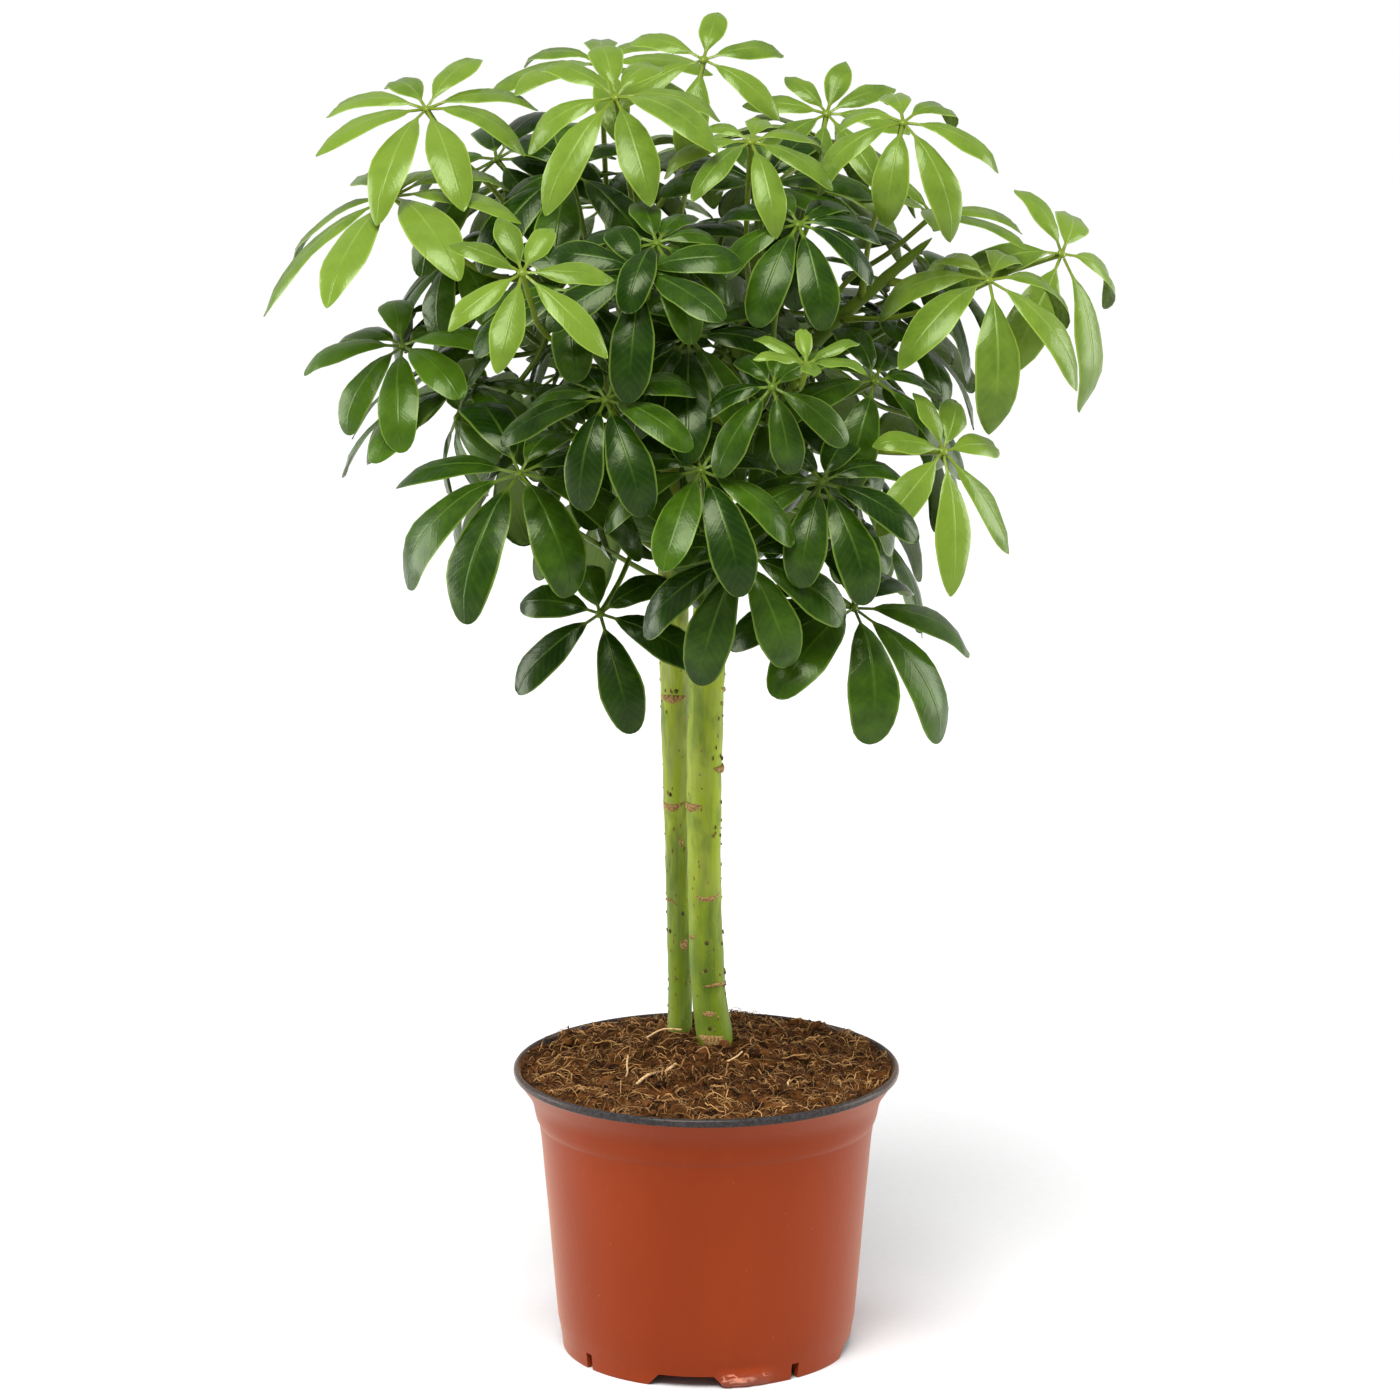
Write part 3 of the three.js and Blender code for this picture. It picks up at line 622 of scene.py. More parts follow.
def spline(points, count):
    """count points of the centripetal Catmull-Rom spline through points, evenly apart."""
    given = np.asarray(points, float)
    ends = [2 * given[0] - given[1], 2 * given[-1] - given[-2]]
    line = np.vstack([ends[0], given, ends[1]])
    fine = []
    last = len(line) - 3
    for i in range(1, last + 1):
        p0, p1, p2, p3 = line[i - 1 : i + 3]
        gaps = [np.linalg.norm((b - a)[:3]) ** 0.5 for a, b in ((p0, p1), (p1, p2), (p2, p3))]
        before, here, after = gaps
        leave = (p1 - p0) / before - (p2 - p0) / (before + here) + (p2 - p1) / here
        arrive = (p2 - p1) / here - (p3 - p1) / (here + after) + (p3 - p2) / after
        for part in np.linspace(0, 1, SPLINE_STEPS, endpoint=i == last):
            cube, square = part**3, part**2
            fine.append(
                p1 * (2 * cube - 3 * square + 1)
                + p2 * (3 * square - 2 * cube)
                + leave * here * (cube - 2 * square + part)
                + arrive * here * (cube - square)
            )
    fine = np.array(fine)
    lengths = np.linalg.norm(np.diff(fine[:, :3], axis=0), axis=1)
    walked = np.concatenate([[0], np.cumsum(lengths)])
    evenly = np.linspace(0, walked[-1], count)
    return np.stack([np.interp(evenly, walked, fine[:, k]) for k in range(fine.shape[1])], 1)


def tubes(name, lines, roundness):
    """One mesh of round tubes. Each line is rows of x, y, z and radius, in millimetres."""
    put_down()
    bpy.ops.curve.primitive_bezier_curve_add()
    drawn = bpy.context.object
    curve = drawn.data
    curve.splines.clear()
    curve.dimensions = "3D"
    curve.bevel_depth = MM
    curve.bevel_resolution = roundness
    curve.use_fill_caps = True
    for line in lines:
        one = curve.splines.new("POLY")
        one.points.add(len(line) - 1)
        places = np.column_stack([line[:, :3] * MM, np.ones(len(line))])
        one.points.foreach_set("co", places.ravel())
        one.points.foreach_set("radius", line[:, 3])
    bpy.ops.object.convert(target="MESH")
    piece = bpy.context.object
    piece.name = piece.data.name = name
    close_up(piece, 0.002)
    bpy.ops.object.shade_smooth()
    return piece


# %% Fibres and roots
FIBRES = 2300
FIBRE_STEPS = 7
FIBRE_REACH = 66.8
ROOTS = [  # x, y, height above the bed, for the pale roots that lie on top
    ([(-25, -27, 0.8), (-21, -22.5, 1.8), (-15, -17, 1.4), (-11, -12, 1.6)], 0.55),
    ([(-28.2, -16, 8.5), (-28.6, -17, 5.5), (-28.4, -17.6, 2.8), (-29.6, -18, 0.2)], 0.32),
    ([(-22, 18, 1.2), (-16, 18.5, 2.8), (-9, 16, 2.6)], 0.36),
    ([(30, -26, 2.6), (29.2, -26.5, 1.6), (29.4, -27.5, 0.2)], 0.3),
    ([(13, 0, 2.4), (11, -4, 1.8), (6, -9, 0.8)], 0.28),
]
lines, pale = [], []
for _ in range(FIBRES):
    x, y, z = scattered(66)
    heading = 9 * noise.noise((x * 0.045, y * 0.045, 2.0)) + draw.gauss(0, 0.7)
    curl = draw.uniform(-0.22, 0.22)
    stride = 0.4 + 1.9 * draw.random() ** 2
    rise = draw.uniform(0.05, 0.9)
    thick = 0.09 + 0.26 * draw.random() ** 2
    rows = []
    for step in range(FIBRE_STEPS):
        part = step / (FIBRE_STEPS - 1)
        arch = math.sin(math.pi * part) * rise * 2.2 + part * rise
        ground = float(soil_height(x, y)) + roughness_at(x, y)
        rows.append((x, y, 0.6 * ground + 0.4 * z + arch, thick * (1 - 0.5 * part)))
        heading += curl + draw.uniform(-0.2, 0.2)
        x += stride * math.cos(heading)
        y += stride * math.sin(heading)
        away = math.hypot(x, y)
        if away > FIBRE_REACH:
            x, y = x * FIBRE_REACH / away, y * FIBRE_REACH / away
    lines.append(np.array(rows))
    pale.append(draw.random())
fibres = tubes("soil_fibres", lines, 0)
per_fibre = len(fibres.data.vertices) / FIBRES
owner = (np.arange(len(fibres.data.vertices)) / per_fibre).astype(int)
mark(fibres, "shade", np.array(pale)[owner])

root_lines = []
for bends, thick in ROOTS:
    rows = [(bx, by, float(soil_height(bx, by)) + up, thick) for bx, by, up in bends]
    root_lines.append(spline(rows, 14))
roots = tubes("soil_roots", root_lines, 2)
mark(roots, "shade", 1.45)
fibres = joined([fibres, roots], "soil_fibres")
print("fibres and roots:", len(fibres.data.polygons), "faces")

# %% The soil's colours
peat = Finish("soil_peat")
coarse = peat.speckle(170, 6, roughness=0.65)
fine = peat.speckle(1400, 3)
# the dark peat sits in the bump's hollows: partly the peat's own uneven tone, partly painted shade
colour = peat.mix(coarse.between(0.36, 0.66), rgb(22, 9, 1), rgb(98, 58, 22))
colour = peat.mix(fine.between(0.52, 0.72) * 0.6, colour, rgb(132, 92, 50))
bump = peat.bump(coarse * 2 + fine, 0.9, 0.0016)
bed.data.materials.append(
    peat.done(Base_Color=colour, Roughness=0.95, Normal=bump, Specular_IOR_Level=0.1)
)

crumble = Finish("soil_crumble")
shade = crumble.attribute("shade")
fine = crumble.speckle(1100, 4)
colour = crumble.mix(shade, rgb(26, 11, 3), rgb(100, 62, 30))
colour = crumble.mix(fine.between(0.5, 0.8) * 0.5, colour, rgb(136, 90, 46))
bump = crumble.bump(fine, 0.8, 0.0008)
crumbs.data.materials.append(
    crumble.done(Base_Color=colour, Roughness=0.95, Normal=bump, Specular_IOR_Level=0.1)
)

coir = Finish("soil_coir")
shade = coir.attribute("shade")
fine = coir.speckle(700, 3)
colour = coir.mix(shade ** 1.6, rgb(60, 32, 10), rgb(204, 156, 96))
colour = coir.mix(shade.between(1.2, 1.5), colour, rgb(222, 186, 136))
colour = coir.mix(fine.between(0.45, 0.75) * 0.5, colour, rgb(104, 62, 28))
bump = coir.bump(fine, 0.6, 0.0004)
fibres.data.materials.append(
    coir.done(Base_Color=colour, Roughness=0.8, Normal=bump, Specular_IOR_Level=0.2)
)

for piece in (bed, crumbs, fibres):
    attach(piece, "root")
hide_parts("soil")

# %% [markdown]
# ## The trunks
#
# Two young stems, still green, with a tan scar where each old leaf was and small dark lenticels
# between. The trunk itself is a tube along the CAD's line. A scar is a ball wrapped round the
# stem: its points are given by how far round, how far up and how far out they are, so it hugs the
# bark at any height. Sculpting them on the trunk's own mesh would need far more faces.

# %% Lines of the trunks and shoots
TRUNKS = {
    "trunk_right": {
        "line": [
            (4.5, 13, 62, 6.2), (3.4, 13, 108, 6.2), (1, 12, 128, 6), (-0.7, 10, 171, 5.8),
            (-0.2, 7, 237, 6.1), (3, 2, 300, 5.6), (6, -2, 338, 4.8), (8, -4, 350, 4.2),
        ],
        "shoots": [
            [(45, -6, 378), (79, -5, 408)], [(15, -8, 385), (20, -12, 428)],
            [(24, 30, 375), (34, 58, 402)], [(22, -38, 350), (38, -60, 378)],
        ],
    },
    "trunk_left": {  # a little nearer to the right one than in the CAD, so no light shows between
        "line": [
            (-10.5, 24, 62, 4.1), (-9.8, 24, 108, 4.1), (-9.6, 23.5, 128, 4.1),
            (-10.2, 22, 171, 4.3), (-11.3, 19, 237, 5.0), (-12.4, 14, 300, 5.0),
            (-14, 10, 330, 4.2), (-15, 9, 342, 3.8),
        ],
        "shoots": [
            [(-42, 4, 372), (-70, -4, 402)], [(-28, -28, 350), (-38, -62, 372)],
            [(-28, 38, 370), (-40, 66, 398)], [(-20, 8, 380), (-26, 8, 432)],
        ],
    },
}
# azimuth and height of a scar's middle, half its width round the stem, half its height,
# how far its ends rise, and how far it stands out
SCARS = {
    "trunk_right": [
        (-12, 214, 50, 1.5, 1.2, 1.0), (-152, 200, 58, 1.9, 1.6, 1.5),
        (-82, 166, 62, 1.0, 2.6, 0.6), (-58, 133.5, 62, 0.7, -1.2, 0.6),
        (-150, 151, 20, 0.9, 0.4, 1.0), (-100, 112, 55, 2.4, 2.2, 0.8),
        (-96, 122.5, 26, 1.2, 0.2, 0.3), (60, 190, 60, 1.1, 1.8, 0.8),
        (120, 140, 60, 1.1, 1.8, 0.8), (150, 232, 55, 1.1, 1.8, 0.8),
        (20, 243, 55, 1.1, 1.8, 0.8), (-100, 258, 55, 1.1, 1.6, 0.8),
    ],
    "trunk_left": [
        (-100, 238, 66, 1.6, 1.0, 0.8), (-118, 197, 72, 1.5, 3.0, 0.9),
        (-150, 162, 58, 0.5, -2.2, 0.7), (-72, 184, 10, 1.9, 0.0, 0.7),
        (-62, 145, 40, 2.2, 0.6, 0.25), (-80, 110, 60, 1.6, 0.5, 0.6),
        (80, 180, 60, 1.0, 1.6, 0.8), (100, 225, 60, 1.0, 1.6, 0.8),
        (60, 135, 60, 1.0, 1.6, 0.8),
    ],
}
# azimuth and height of the dark bud over a scar
BUDS = {
    "trunk_right": [(-14, 218), (-156, 205), (-8, 137), (-100, 117), (-90, 149.5), (-98, 139)],
    "trunk_left": [(-120, 202), (-84, 241), (-70, 157), (-140, 150)],
}
BUD_SIZE = (9, 0.9, 0, 0.5)
SHOOT_ROWS = 44
LENTICELS = 170
BARK_SPARE = 0.3  # what the round stem has over the flats of the CAD's


def trunk_at(line, height):
    """Middle x, y and radius of a trunk at a height."""
    heights = [row[2] for row in line]
    x, y, radius = (np.interp(height, heights, [row[k] for row in line]) for k in (0, 1, 3))
    return x, y, radius + BARK_SPARE


def wrapped(ball, line, azimuth, height, half_round, half_up, ends_up, proud):
    """Lays the unit ball's points on the bark: x goes round, z up, y outwards."""
    taper = 1 - 0.55 * ball[:, 0] ** 2
    up = height + ball[:, 2] * half_up * taper + ends_up * ball[:, 0] ** 2
    mid_x, mid_y, radius = trunk_at(line, up)
    turn = np.radians(azimuth + ball[:, 0] * half_round)
    out = radius - 0.25 * proud + ball[:, 1] * proud * taper
    return np.stack([mid_x + out * np.cos(turn), mid_y + out * np.sin(turn), up], 1)


# %% Trunks with shoots, scars and lenticels
# The mark `bark` is 0 on a trunk, -1 on a shoot, 1 on a scar, and more on what is darker.
put_down()
bpy.ops.mesh.primitive_uv_sphere_add(segments=20, ring_count=8, radius=1)
scar_ball = bpy.context.object
put_down()
bpy.ops.mesh.primitive_uv_sphere_add(segments=8, ring_count=5, radius=1)
speck_ball = bpy.context.object


def on_bark(ball, line, kind, *shape):
    one = copied(ball)
    place_points(one, wrapped(points_of(ball), line, *shape) * MM)
    mark(one, "bark", kind)
    take(one)
    bpy.ops.object.shade_smooth()
    return one


def thickness(line):
    """A little swelling where each leaf once stood, so the stem isn't a plain rod."""
    wave = 0.10 * np.sin(line[:, 2] * 0.23) + 0.07 * np.sin(line[:, 2] * 0.61 + 1)
    return line[:, 3] + wave + BARK_SPARE


trunks, shoot_points = {}, []
for name, trunk in TRUNKS.items():
    line = spline(trunk["line"], 150)
    line[:, 3] = thickness(line)
    line[-3:, 3] *= (0.96, 0.8, 0.4)
    parts = [tubes(name + "_stem", [line], 11)]
    for bends in trunk["shoots"]:
        path = [(*trunk["line"][-2][:3], 0)] + [(*bend, 0) for bend in bends]
        shoot = spline(path, SHOOT_ROWS)
        knots = 0.12 * np.sin(np.arange(SHOOT_ROWS) * 1.7)
        shoot[:, 3] = np.linspace(3.4, 1.7, SHOOT_ROWS) + knots
        shoot[-6:, 3] *= (1.0, 0.95, 0.86, 0.7, 0.45, 0.12)
        parts.append(tubes(name + "_shoot", [shoot], 4))
        mark(parts[-1], "bark", -1)
        shoot_points.extend(shoot[::4, :3])
    mark(parts[0], "bark", 0)
    for shape in SCARS[name]:
        parts.append(on_bark(scar_ball, trunk["line"], 1, *shape))
    for azimuth, height in BUDS[name]:
        parts.append(on_bark(speck_ball, trunk["line"], 2, azimuth, height, *BUD_SIZE))
    for _ in range(LENTICELS):
        height = 108 + 190 * draw.random() ** 1.25
        azimuth = draw.uniform(-180, 180)
        size = draw.uniform(0.5, 1.1)
        shape = (azimuth, height, 3.6 * size, 0.85 * size, 0, 0.3)
        parts.append(on_bark(speck_ball, trunk["line"], draw.choice((1.5, 1.6, 1.8)), *shape))
    trunks[name] = joined(parts, name + "_bark")
    print(name, len(trunks[name].data.polygons), "faces")
bpy.data.objects.remove(scar_ball)
bpy.data.objects.remove(speck_ball)


# %% [markdown]
# Young bark is waxy and streaked along the stem: yellow-green in the middle, greyer where the wax
# is thicker, greener towards the foot. Long streaks come from noise that is squeezed round the
# stem and drawn out along it.


# %% The bark
def bark(name, bright, waxy, deep):
    finish = Finish(name)
    kind = finish.attribute("bark")
    streak = finish.speckle(420, 4, (1, 1, 0.08), 0.6)
    cloud = finish.speckle(60, 3, (1, 1, 0.4))
    fine = finish.speckle(1500, 2)
    height = finish.axes()[2]
    colour = finish.mix(streak.between(0.36, 0.64), waxy, bright)
    colour = finish.mix(streak.between(0.62, 0.36) * 0.6 * cloud.between(0.4, 0.6), colour, deep)
    patches = finish.speckle(130, 3, (1, 1, 0.45)).between(0.5, 0.68)
    colour = finish.mix(patches * 0.5, colour, deep)
    foot = (0.235 - height) * 5.5
    colour = finish.mix((foot + cloud - 0.5).between(0.1, 0.9) * 0.75, colour, deep)
    colour = finish.mix(fine.between(0.6, 0.75) * 0.25, colour, rgb(146, 146, 88))
    scar = finish.mix(fine.between(0.35, 0.65), rgb(116, 86, 44), rgb(178, 144, 92))
    colour = finish.mix((0 - kind).between(0.2, 0.9) * 0.8, colour, deep)
    colour = finish.mix(kind.between(0.35, 0.75), colour, scar)
    colour = finish.mix(kind.between(1.15, 2.3), colour, rgb(40, 50, 12))
    rough = 0.42 + fine * 0.15 + kind.between(0.3, 0.8) * 0.3
    bump = finish.bump(streak * 2 + fine, 0.35, 0.0004)
    return finish.done(Base_Color=colour, Roughness=rough, Normal=bump, Specular_IOR_Level=0.2)


BARK = {
    "trunk_right": bark("bark_right", rgb(141, 160, 16), rgb(150, 163, 60), rgb(70, 98, 12)),
    "trunk_left": bark("bark_left", rgb(148, 164, 26), rgb(166, 174, 92), rgb(66, 94, 10)),
}
for name, piece in trunks.items():
    piece.data.materials.append(BARK[name])
    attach(piece, "root")
    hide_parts(name)

# %% [markdown]
# ## Reading a leaf off its CAD node
#
# Each leaf node is a stalk and some leaflets, and a leaflet is a run of three-cornered sections
# that ends in a point. That point is the only kind of corner with just three neighbours. From it
# the mesh is walked back, three corners at a time, to the hub. The middles of the sections lie on
# one arc, so three of them give its centre, and the arc gives the hub and the leaflet's length.

# %% Walk the mesh of a leaf node
FOOT_PART = 0.15  # of a leaflet's length, where the CAD's blade starts
WIDE_SECTION = 2  # the section where a leaflet's width is read
WIDE_PART = 0.62  # of the blade's own length, where that section is
STALK_SIDE = 1.25 * math.sqrt(3)


def loose_mesh(node):
    """Corners of a CAD node with doubles merged, in millimetres, and each one's neighbours."""
    corners = points_of(node) / MM
    _, first, same = np.unique(
        np.round(corners * 1000).astype(int), axis=0, return_index=True, return_inverse=True
    )
    same = same.ravel()
    faces = [[int(same[i]) for i in face.vertices] for face in node.data.polygons]
    near = [set() for _ in first]
    for face in faces:
        for a in face:
            near[a].update(b for b in face if b != a)
    return corners[first], faces, near


def rings_from(start, near, count):
    """Rings of three corners, walked away from a set of corners."""
    rings, seen, here = [], set(start), set(start)
    for _ in range(count):
        here = {b for a in here for b in near[a]} - seen
        if len(here) != 3:
            break
        rings.append(sorted(here))
        seen |= here
    return rings


def unit(vector):
    return vector / np.linalg.norm(vector)


def margins(section, side):
    """The two corners of a section that lie on the leaflet's margins."""
    edges = [(section[k], section[k - 1]) for k in range(3)]
    return max(edges, key=lambda e: abs(np.dot(unit(e[0] - e[1]), side)))


def read_leaflet(tip, rings, corners):
    """The arc of one leaflet, as in the CAD: hub, start, inward, bend, length, side and width."""
    sections = [corners[ring] for ring in rings[::-1]]
    edges = [s[k] - s[k - 1] for s in sections for k in range(3)]
    side = unit(max(edges, key=np.linalg.norm))
    pairs = [margins(s, side) for s in sections]
    foot, wide = pairs[0], pairs[WIDE_SECTION]
    a, b, c = (foot[0] + foot[1]) / 2, (wide[0] + wide[1]) / 2, corners[tip]
    ab, ac = b - a, c - a
    normal = np.cross(ab, ac)
    square = np.dot(normal, normal)
    to_centre = np.cross(normal, ab) * np.dot(ac, ac) + np.cross(ac, normal) * np.dot(ab, ab)
    centre = a + to_centre / (2 * square)
    radius = np.linalg.norm(a - centre)
    bend = 2 * math.asin(np.linalg.norm(ac) / (2 * radius)) / (1 - FOOT_PART)
    top = (a - centre) / radius
    along = unit(np.cross(normal, top))
    if np.dot(along, ac) < 0:
        along = -along
    back = bend * FOOT_PART
    inward = -(math.cos(back) * top - math.sin(back) * along)
    start = math.sin(back) * top + math.cos(back) * along
    return {
        "hub": centre - radius * inward,
        "start": start,
        "inward": inward,
        "bend": bend,
        "length": radius * bend,
        "side": np.cross(inward, start),
        "half_width": np.linalg.norm(wide[0] - wide[1]) / 2,
    }


def read_leaf(node):
    corners, faces, near = loose_mesh(node)
    arcs, used = [], set()
    for tip in [i for i, some in enumerate(near) if len(some) == 3]:
        rings = rings_from([tip], near, 4)
        if len(rings) == 4:
            arcs.append(read_leaflet(tip, rings, corners))
            used |= {tip, *(i for ring in rings for i in ring)}
    hub = np.mean([arc["hub"] for arc in arcs], axis=0)
    facing = unit(-np.sum([arc["inward"] for arc in arcs], axis=0))
    stalk = []
    for face in sorted(faces, key=lambda f: -np.linalg.norm(corners[f[0]] - hub)):
        sides = [np.linalg.norm(corners[face[k]] - corners[face[k - 1]]) for k in range(3)]
        if used.isdisjoint(face) and max(abs(s - STALK_SIDE) for s in sides) < 0.05:
            rings = [face] + rings_from(face, near, 2)
            stalk = [corners[ring].mean(axis=0) for ring in rings]
            break
    spread = max(np.linalg.norm(arc["hub"] - hub) for arc in arcs)
    return {"arcs": arcs, "hub": hub, "facing": facing, "stalk": stalk, "spread": spread}


leaf_nodes = [name for name in sorted(nodes) if name.startswith("leaf_")]
leaves = {name: read_leaf(nodes[name]) for name in leaf_nodes}
print("leaflets:", sum(len(leaf["arcs"]) for leaf in leaves.values()))
print("hubs agree within", round(max(leaf["spread"] for leaf in leaves.values()), 3), "mm")
print("stalks read:", sum(len(leaf["stalk"]) == 3 for leaf in leaves.values()), "of", len(leaves))
widths = [2 * arc["half_width"] for leaf in leaves.values() for arc in leaf["arcs"]]
print("leaflet widths:", round(min(widths), 1), "to", round(max(widths), 1), "mm")

# %% [markdown]
# ## One leaflet, copied
#
# A leaflet is a grid, four faces wide, with the rows closer together where the outline turns
# fast. Its upper skin is doubled and turned over for the underside, and the two are merged along
# the margin, so the blade has a thickness and closes. The margin is marked sharp, or its shading
# would run round from one side to the other and darken the edge. Every leaflet is a copy of this
# one, bent onto its own arc: the margin lies where the CAD's margin lies, the middle is arched,
# the midrib sinks a little into the upper side and stands out below, the margin waves slightly
# and the tip droops.

# %% The flat leaflet
ROWS = [
    0.03, 0.14, 0.17, 0.22, 0.3, 0.39, 0.48, 0.57, 0.66, 0.75, 0.84, 0.915, 0.962, 0.987, 0.998,
]
put_down()
bpy.ops.mesh.primitive_grid_add(x_subdivisions=len(ROWS) - 1, y_subdivisions=4, size=2)
blade = bpy.context.object
grid = points_of(blade)
row = np.round((grid[:, 0] + 1) / 2 * (len(ROWS) - 1)).astype(int)
grid[:, 0] = np.array(ROWS)[row]
place_points(blade, grid)
bpy.ops.object.mode_set(mode="EDIT")
bpy.ops.mesh.select_all(action="SELECT")
bpy.ops.mesh.duplicate()
bpy.ops.transform.translate(value=(0, 0, -0.01))
bpy.ops.mesh.flip_normals()
bpy.ops.object.mode_set(mode="OBJECT")
grid = points_of(blade)
ends = (grid[:, 0] > ROWS[-1] - 0.001) | (grid[:, 0] < ROWS[0] + 0.001)
rim = (np.abs(grid[:, 1]) > 0.99) | ends
blade.data.vertices.foreach_set("select", rim)
bpy.ops.object.mode_set(mode="EDIT")
bpy.ops.mesh.remove_doubles(threshold=0.012)
bpy.ops.mesh.mark_sharp()
bpy.ops.object.mode_set(mode="OBJECT")
grid = points_of(blade)
along, across = grid[:, 0], grid[:, 1]
under = grid[:, 2] < -0.006
rim = (np.abs(across) > 0.99) | (along > ROWS[-1] - 0.001)
mark(blade, "along", along)
mark(blade, "across", across)
mark(blade, "under", np.where(rim, 0.4, under * 1.0))
mark(blade, "blade", 1)
print("one leaflet:", len(blade.data.polygons), "faces")

# %% Bend a leaflet onto its arc
# shift and blunt shape the outline; in millimetres, rib is how high the middle arches, fold how
# deep its groove is, wave how far the margin ripples and droop how far the tip may hang
KINDS = {
    "leaf_young": {
        "shift": 1.08, "blunt": 0.70, "rib": 1.9, "fold": 0.95, "wave": 0.45, "droop": 1.8,
    },
    "leaf_grown": {
        "shift": 1.32, "blunt": 0.46, "rib": 1.6, "fold": 0.26, "wave": 0.35, "droop": 2.4,
    },
}
STALKLET = 0.62
SKIN = 0.42
TWIST = 11  # degrees, at the tip


def outline(kind, part):
    """A blade's width at a part of its length, against its widest."""
    return np.sin(np.pi * np.clip(part, 0, 1) ** kind["shift"]) ** kind["blunt"]


def along_arc(arc, part):
    """Points of an arc at parts of its length, in millimetres, and the way up at each."""
    turned = arc["bend"] * part
    radius = arc["length"] / arc["bend"]
    start, inward = arc["start"], arc["inward"]
    middle = (
        arc["hub"]
        + np.outer(radius * np.sin(turned), start)
        + np.outer(radius * (1 - np.cos(turned)), inward)
    )
    return middle, np.outer(np.sin(turned), start) - np.outer(np.cos(turned), inward)


def bent_blade(arc, kind):
    """Points of the leaflet on this arc, in millimetres."""
    part = (along - FOOT_PART) / (1 - FOOT_PART)
    full = arc["half_width"] * outline(kind, part) / outline(kind, WIDE_PART)
    half = np.where(along < 0.5, np.hypot(full, STALKLET), full)
    half = half * (1 + 0.03 * np.sin(along * 17 + draw.uniform(0, 6)))
    leafy = smoothstep(0.1, 0.26, along)
    arch = kind["rib"] * smoothstep(0.08, 0.3, along) * smoothstep(1.0, 0.82, along)
    groove = kind["fold"] * (np.abs(across) < 0.1) * leafy * smoothstep(1.0, 0.8, along)
    upper = leafy * (arch * (1 - across**2) - groove)
    upper = upper + (1 - leafy) * STALKLET * (1 - across**2)
    lower = leafy * (arch * (1 - across**2) - SKIN - 0.6 * groove)
    lower = lower - (1 - leafy) * STALKLET * (1 - across**2)
    ripple = np.sin(along * draw.uniform(8, 13) + draw.uniform(0, 6)) * across**2
    wave = kind["wave"] * ripple * leafy
    droop = draw.uniform(0, kind["droop"]) * smoothstep(0.6, 1.0, along) ** 2
    lift = np.where(under, lower, upper)
    lift = np.where(rim, 0, lift) + wave - droop
    twist = math.radians(draw.uniform(-TWIST, TWIST)) * along * leafy
    sideways = across * half
    sideways, lift = (
        sideways * np.cos(twist) - lift * np.sin(twist),
        sideways * np.sin(twist) + lift * np.cos(twist),
    )
    middle, top = along_arc(arc, along)
    points = middle + np.outer(sideways, arc["side"]) + top * lift[:, None]
    return np.clip(points, *(np.array(corner) / MM for corner in cad_box))


# %% [markdown]
# The stalk is a tube through the points read from the node. It starts a little inside the shoot,
# where it widens into the sheath that clasps the stem, and ends in a small knob that the
# leaflets spring from.


# %% Build every leaf
STALK_ROWS = 26
STALK_SUNK = 2.2
KNOB_RADIUS = 1.75
KNOB_FLATTENED = 0.35


def stalk_line(leaf):
    end = leaf["hub"] - 0.3 * leaf["facing"]
    given = [*leaf["stalk"], end]
    into = unit(given[0] - given[1])
    given = [given[0] + STALK_SUNK * into, *given]
    line = spline([(*p, 0) for p in given], STALK_ROWS)
    part = np.linspace(0, 1, STALK_ROWS)
    line[:, 3] = 0.98 + 0.95 * np.exp(-part * 14) + 0.25 * smoothstep(0.93, 1, part)
    return line


CROWN_MIDDLE = np.array([-4, -10, 370])
CROWN_RADII = np.array([112, 112, 104])

put_down()
bpy.ops.mesh.primitive_uv_sphere_add(segments=12, ring_count=6, radius=1)
knob = bpy.context.object
knob_ball = points_of(knob)


def grow(leaf, kind_name, name):
    """Stalk, knob and leaflets in one piece. A mark is 1 where more light gets in, and there the
    finish paints the leaf paler: painted light.
    """
    parts = [tubes(name + "_stalk", [stalk_line(leaf)], 2)]
    hub = copied(knob)
    facing = leaf["facing"]
    flat = knob_ball - np.outer(knob_ball @ facing, facing) * KNOB_FLATTENED
    place_points(hub, (leaf["hub"] + flat * KNOB_RADIUS) * MM)
    parts.append(hub)
    for arc in leaf["arcs"]:
        one = copied(blade)
        place_points(one, bent_blade(arc, KINDS[kind_name]) * MM)
        mark(one, "shade", draw.random())
        parts.append(one)
    piece = joined(parts, name)
    reach = (leaf["hub"] - CROWN_MIDDLE) / CROWN_RADII
    outer = abs(reach[0]) if kind_name == "leaf_grown" else np.linalg.norm(reach)
    mark(piece, "outer", smoothstep(0.5, 1.0, outer))
    bpy.ops.object.shade_smooth()
    return piece


leaf_pieces = {}
for name, leaf in leaves.items():
    kind_name = nodes[name].data.materials[0].name
    piece = grow(leaf, kind_name, name.replace("leaf_", "umbrella_"))
    leaf_pieces[name] = (piece, kind_name)
print("leaf pieces:", len(leaf_pieces))

# %% [markdown]
# Deep in the crown grow more and smaller leaves than the CAD carries. They are grown here by rule:
# hubs on a spiral round the middle of the crown, and of each hub only the leaflets that find room
# between those already there. They never reach the crown's outline.

# %% Inner leaves
INNER_TRIES = 600
INNER_COUNT = 26
INNER_LEAFLETS = 7
INNER_ROOM = 4.6
INNER_LENGTHS = (27, 37)
INNER_LEAST = 4  # leaflets that must find room
GOLDEN_TURN = math.pi * (3 - math.sqrt(5))
SAMPLE_PARTS = np.array([0.35, 0.55, 0.75, 0.95])
SAMPLE_WIDTHS = np.array([0.6, 0.9, 0.95, 0.4])


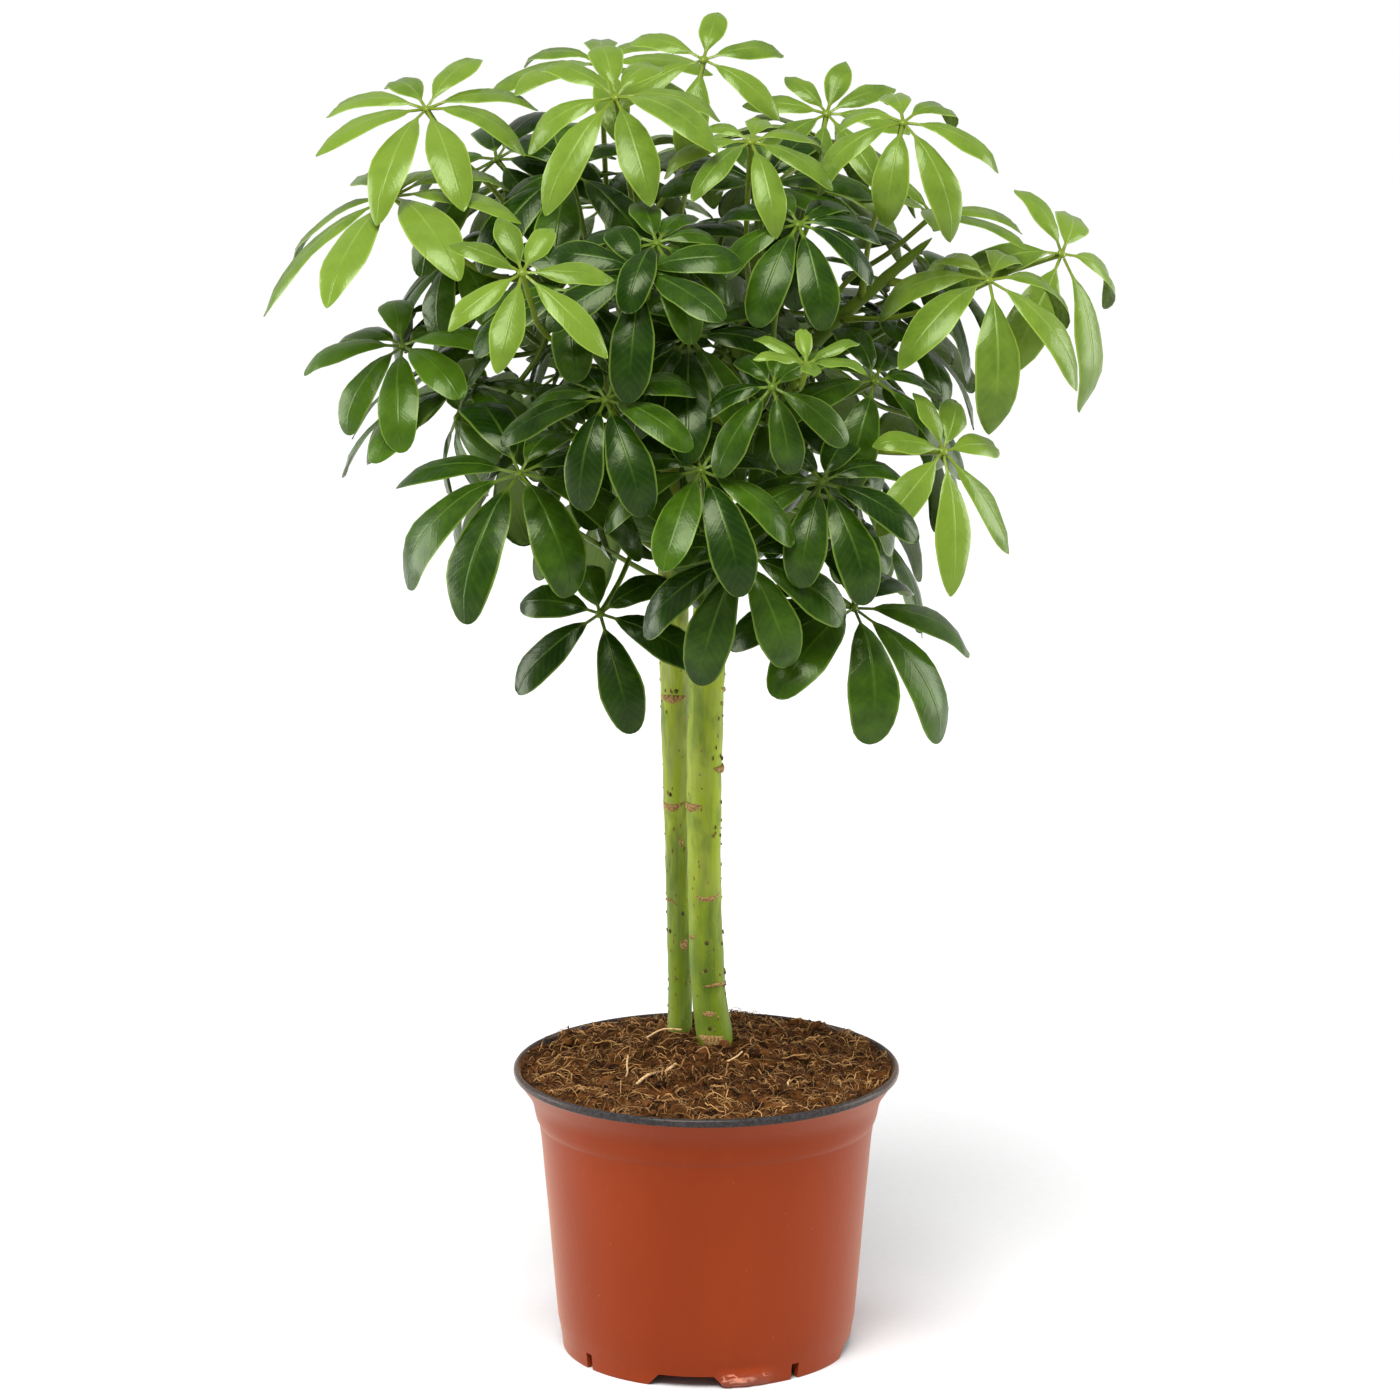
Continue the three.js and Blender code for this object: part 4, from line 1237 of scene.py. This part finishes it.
def samples(arc):
    """Points along the middle and both margins of a leaflet, in millimetres."""
    middle, _ = along_arc(arc, SAMPLE_PARTS)
    margin = np.outer(SAMPLE_WIDTHS * arc["half_width"], arc["side"])
    return np.vstack([middle - margin, middle, middle + margin])


def inner_leaf(number):
    depth = 0.34 + 0.46 * draw.random()
    height = 1 - 2 * (number + 0.5) / INNER_TRIES
    across = math.sqrt(1 - height * height)
    turn = number * GOLDEN_TURN
    out = np.array([across * math.cos(turn), across * math.sin(turn), height])
    hub = CROWN_MIDDLE + CROWN_RADII * out * depth
    facing = unit(out + (0, 0, 0.7))
    first = unit(np.cross(facing, (0.3, 0.9, 0.2)))
    second = np.cross(facing, first)
    arcs = []
    for leaflet in range(INNER_LEAFLETS):
        around = 2 * math.pi * (leaflet + draw.uniform(-0.15, 0.15)) / INNER_LEAFLETS
        rise = math.radians(draw.uniform(-12, 10))
        spoke = math.cos(around) * first + math.sin(around) * second
        start = math.cos(rise) * spoke + math.sin(rise) * facing
        inward = math.sin(rise) * spoke - math.cos(rise) * facing
        length = draw.uniform(*INNER_LENGTHS)
        arcs.append({
            "hub": hub, "start": start, "inward": inward, "bend": draw.uniform(0.4, 0.9),
            "length": length, "side": np.cross(inward, start), "half_width": 0.17 * length,
        })
    near = min(shoot_points, key=lambda p: np.linalg.norm(p - hub))
    stalk = [near, near * 0.6 + (hub - 22 * facing) * 0.4, hub - 6 * facing]
    return {"arcs": arcs, "hub": hub, "facing": facing, "stalk": stalk}


taken = np.vstack([samples(arc) for leaf in leaves.values() for arc in leaf["arcs"]])
inner_parts = []
for number in range(INNER_TRIES):
    leaf = inner_leaf(number * 557 % INNER_TRIES)
    free = []
    for arc in leaf["arcs"]:
        gaps = samples(arc)[:, None, :] - taken[None, :, :]
        if np.linalg.norm(gaps, axis=2).min() > INNER_ROOM:
            free.append(arc)
    if len(free) >= INNER_LEAST:
        leaf["arcs"] = free
        taken = np.vstack([taken, *(samples(arc) for arc in free)])
        inner_parts.append(grow(leaf, "leaf_grown", "inner_leaf"))
    if len(inner_parts) == INNER_COUNT:
        break
print("inner leaves:", len(inner_parts))
inner_leaves = joined(inner_parts, "inner_leaves")
bpy.data.objects.remove(blade)
bpy.data.objects.remove(knob)

# %% [markdown]
# Grown leaflets are deep green and waxy, with a thin pale margin and a lighter midrib. Young ones
# are yellow-green and satin. Both are paler and matte below. The blade's own attributes say where
# along and across it a point is, so midrib, side veins and margin follow each blade's bend. The
# pale margin is partly the blade's own edge and partly painted highlight along the rim. Leaves
# further out in the crown are painted paler where more light would get in: painted light.


# %% Leaf finishes
def leaf_finish(name, deep, light, vein, margin, below, stalk, gloss, shine):
    finish = Finish(name)
    on_blade = finish.attribute("blade")
    length_part = finish.attribute("along")
    width_part = abs(finish.attribute("across"))
    shade = finish.attribute("shade")
    outer = finish.attribute("outer")
    turned = finish.attribute("under").between(0.5, 0.9)
    cloud = finish.speckle(150, 3)
    fine = finish.speckle(1600, 2)
    # painted light: the mark makes leaves further out in the crown paler, on top of random tone
    lighter = shade * 0.45 + outer * 0.45 + (cloud - 0.5) * 0.7
    colour = finish.mix(lighter.between(-0.1, 1.0), deep, light)
    phase = (length_part * 15 - width_part * 2.4) % 1
    vein_line = 1 - abs(phase - 0.5).between(0.02, 0.2)
    midrib = 1 - width_part.between(0.02, 0.09)
    colour = finish.mix(vein_line * 0.05, colour, vein)
    colour = finish.mix(midrib * (1 - length_part.between(0.35, 0.85)) * 0.45, colour, vein)
    # the pale margin is partly the blade's own edge and partly painted highlight along the rim
    colour = finish.mix(width_part.between(0.88, 0.98) * 0.55, colour, margin)
    pale = finish.mix(midrib.math("MAXIMUM", midrib, vein_line * 0.4), below, vein)
    colour = finish.mix(turned, colour, pale)
    foot = on_blade * length_part.between(0.13, 0.2)
    colour = finish.mix(foot, stalk, colour)
    rough = gloss + fine * 0.08 + turned * 0.25
    relief = vein_line * -0.1 + midrib * -0.8 + fine * 0.2 + cloud * 1.4
    bump = finish.bump(relief, 0.35, 0.0004)
    return finish.done(
        Base_Color=colour, Roughness=rough, Normal=bump,
        Specular_IOR_Level=shine, Specular_Tint=rgb(236, 255, 200),
    )


FINISHES = {
    "leaf_young": leaf_finish(
        "leaf_young_skin",
        deep=rgb(50, 78, 16), light=rgb(101, 126, 38), vein=rgb(130, 152, 68),
        margin=rgb(140, 164, 66), below=rgb(108, 132, 58), stalk=rgb(104, 122, 34),
        gloss=0.2, shine=0.32,
    ),
    "leaf_grown": leaf_finish(
        "leaf_grown_skin",
        deep=rgb(13, 37, 1), light=rgb(68, 100, 18), vein=rgb(84, 114, 34),
        margin=rgb(112, 138, 52), below=rgb(90, 112, 50), stalk=rgb(84, 106, 28),
        gloss=0.19, shine=0.26,
    ),
}
for name, (piece, kind_name) in leaf_pieces.items():
    piece.data.materials.clear()
    piece.data.materials.append(FINISHES[kind_name])
    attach(piece, "root")
    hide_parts(name)
inner_leaves.data.materials.clear()
inner_leaves.data.materials.append(FINISHES["leaf_grown"])
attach(inner_leaves, "root")

# %% [markdown]
# ## Sizes
#
# Looks never change the object's size.

# %% Finish
put_down()
bpy.context.view_layer.update()
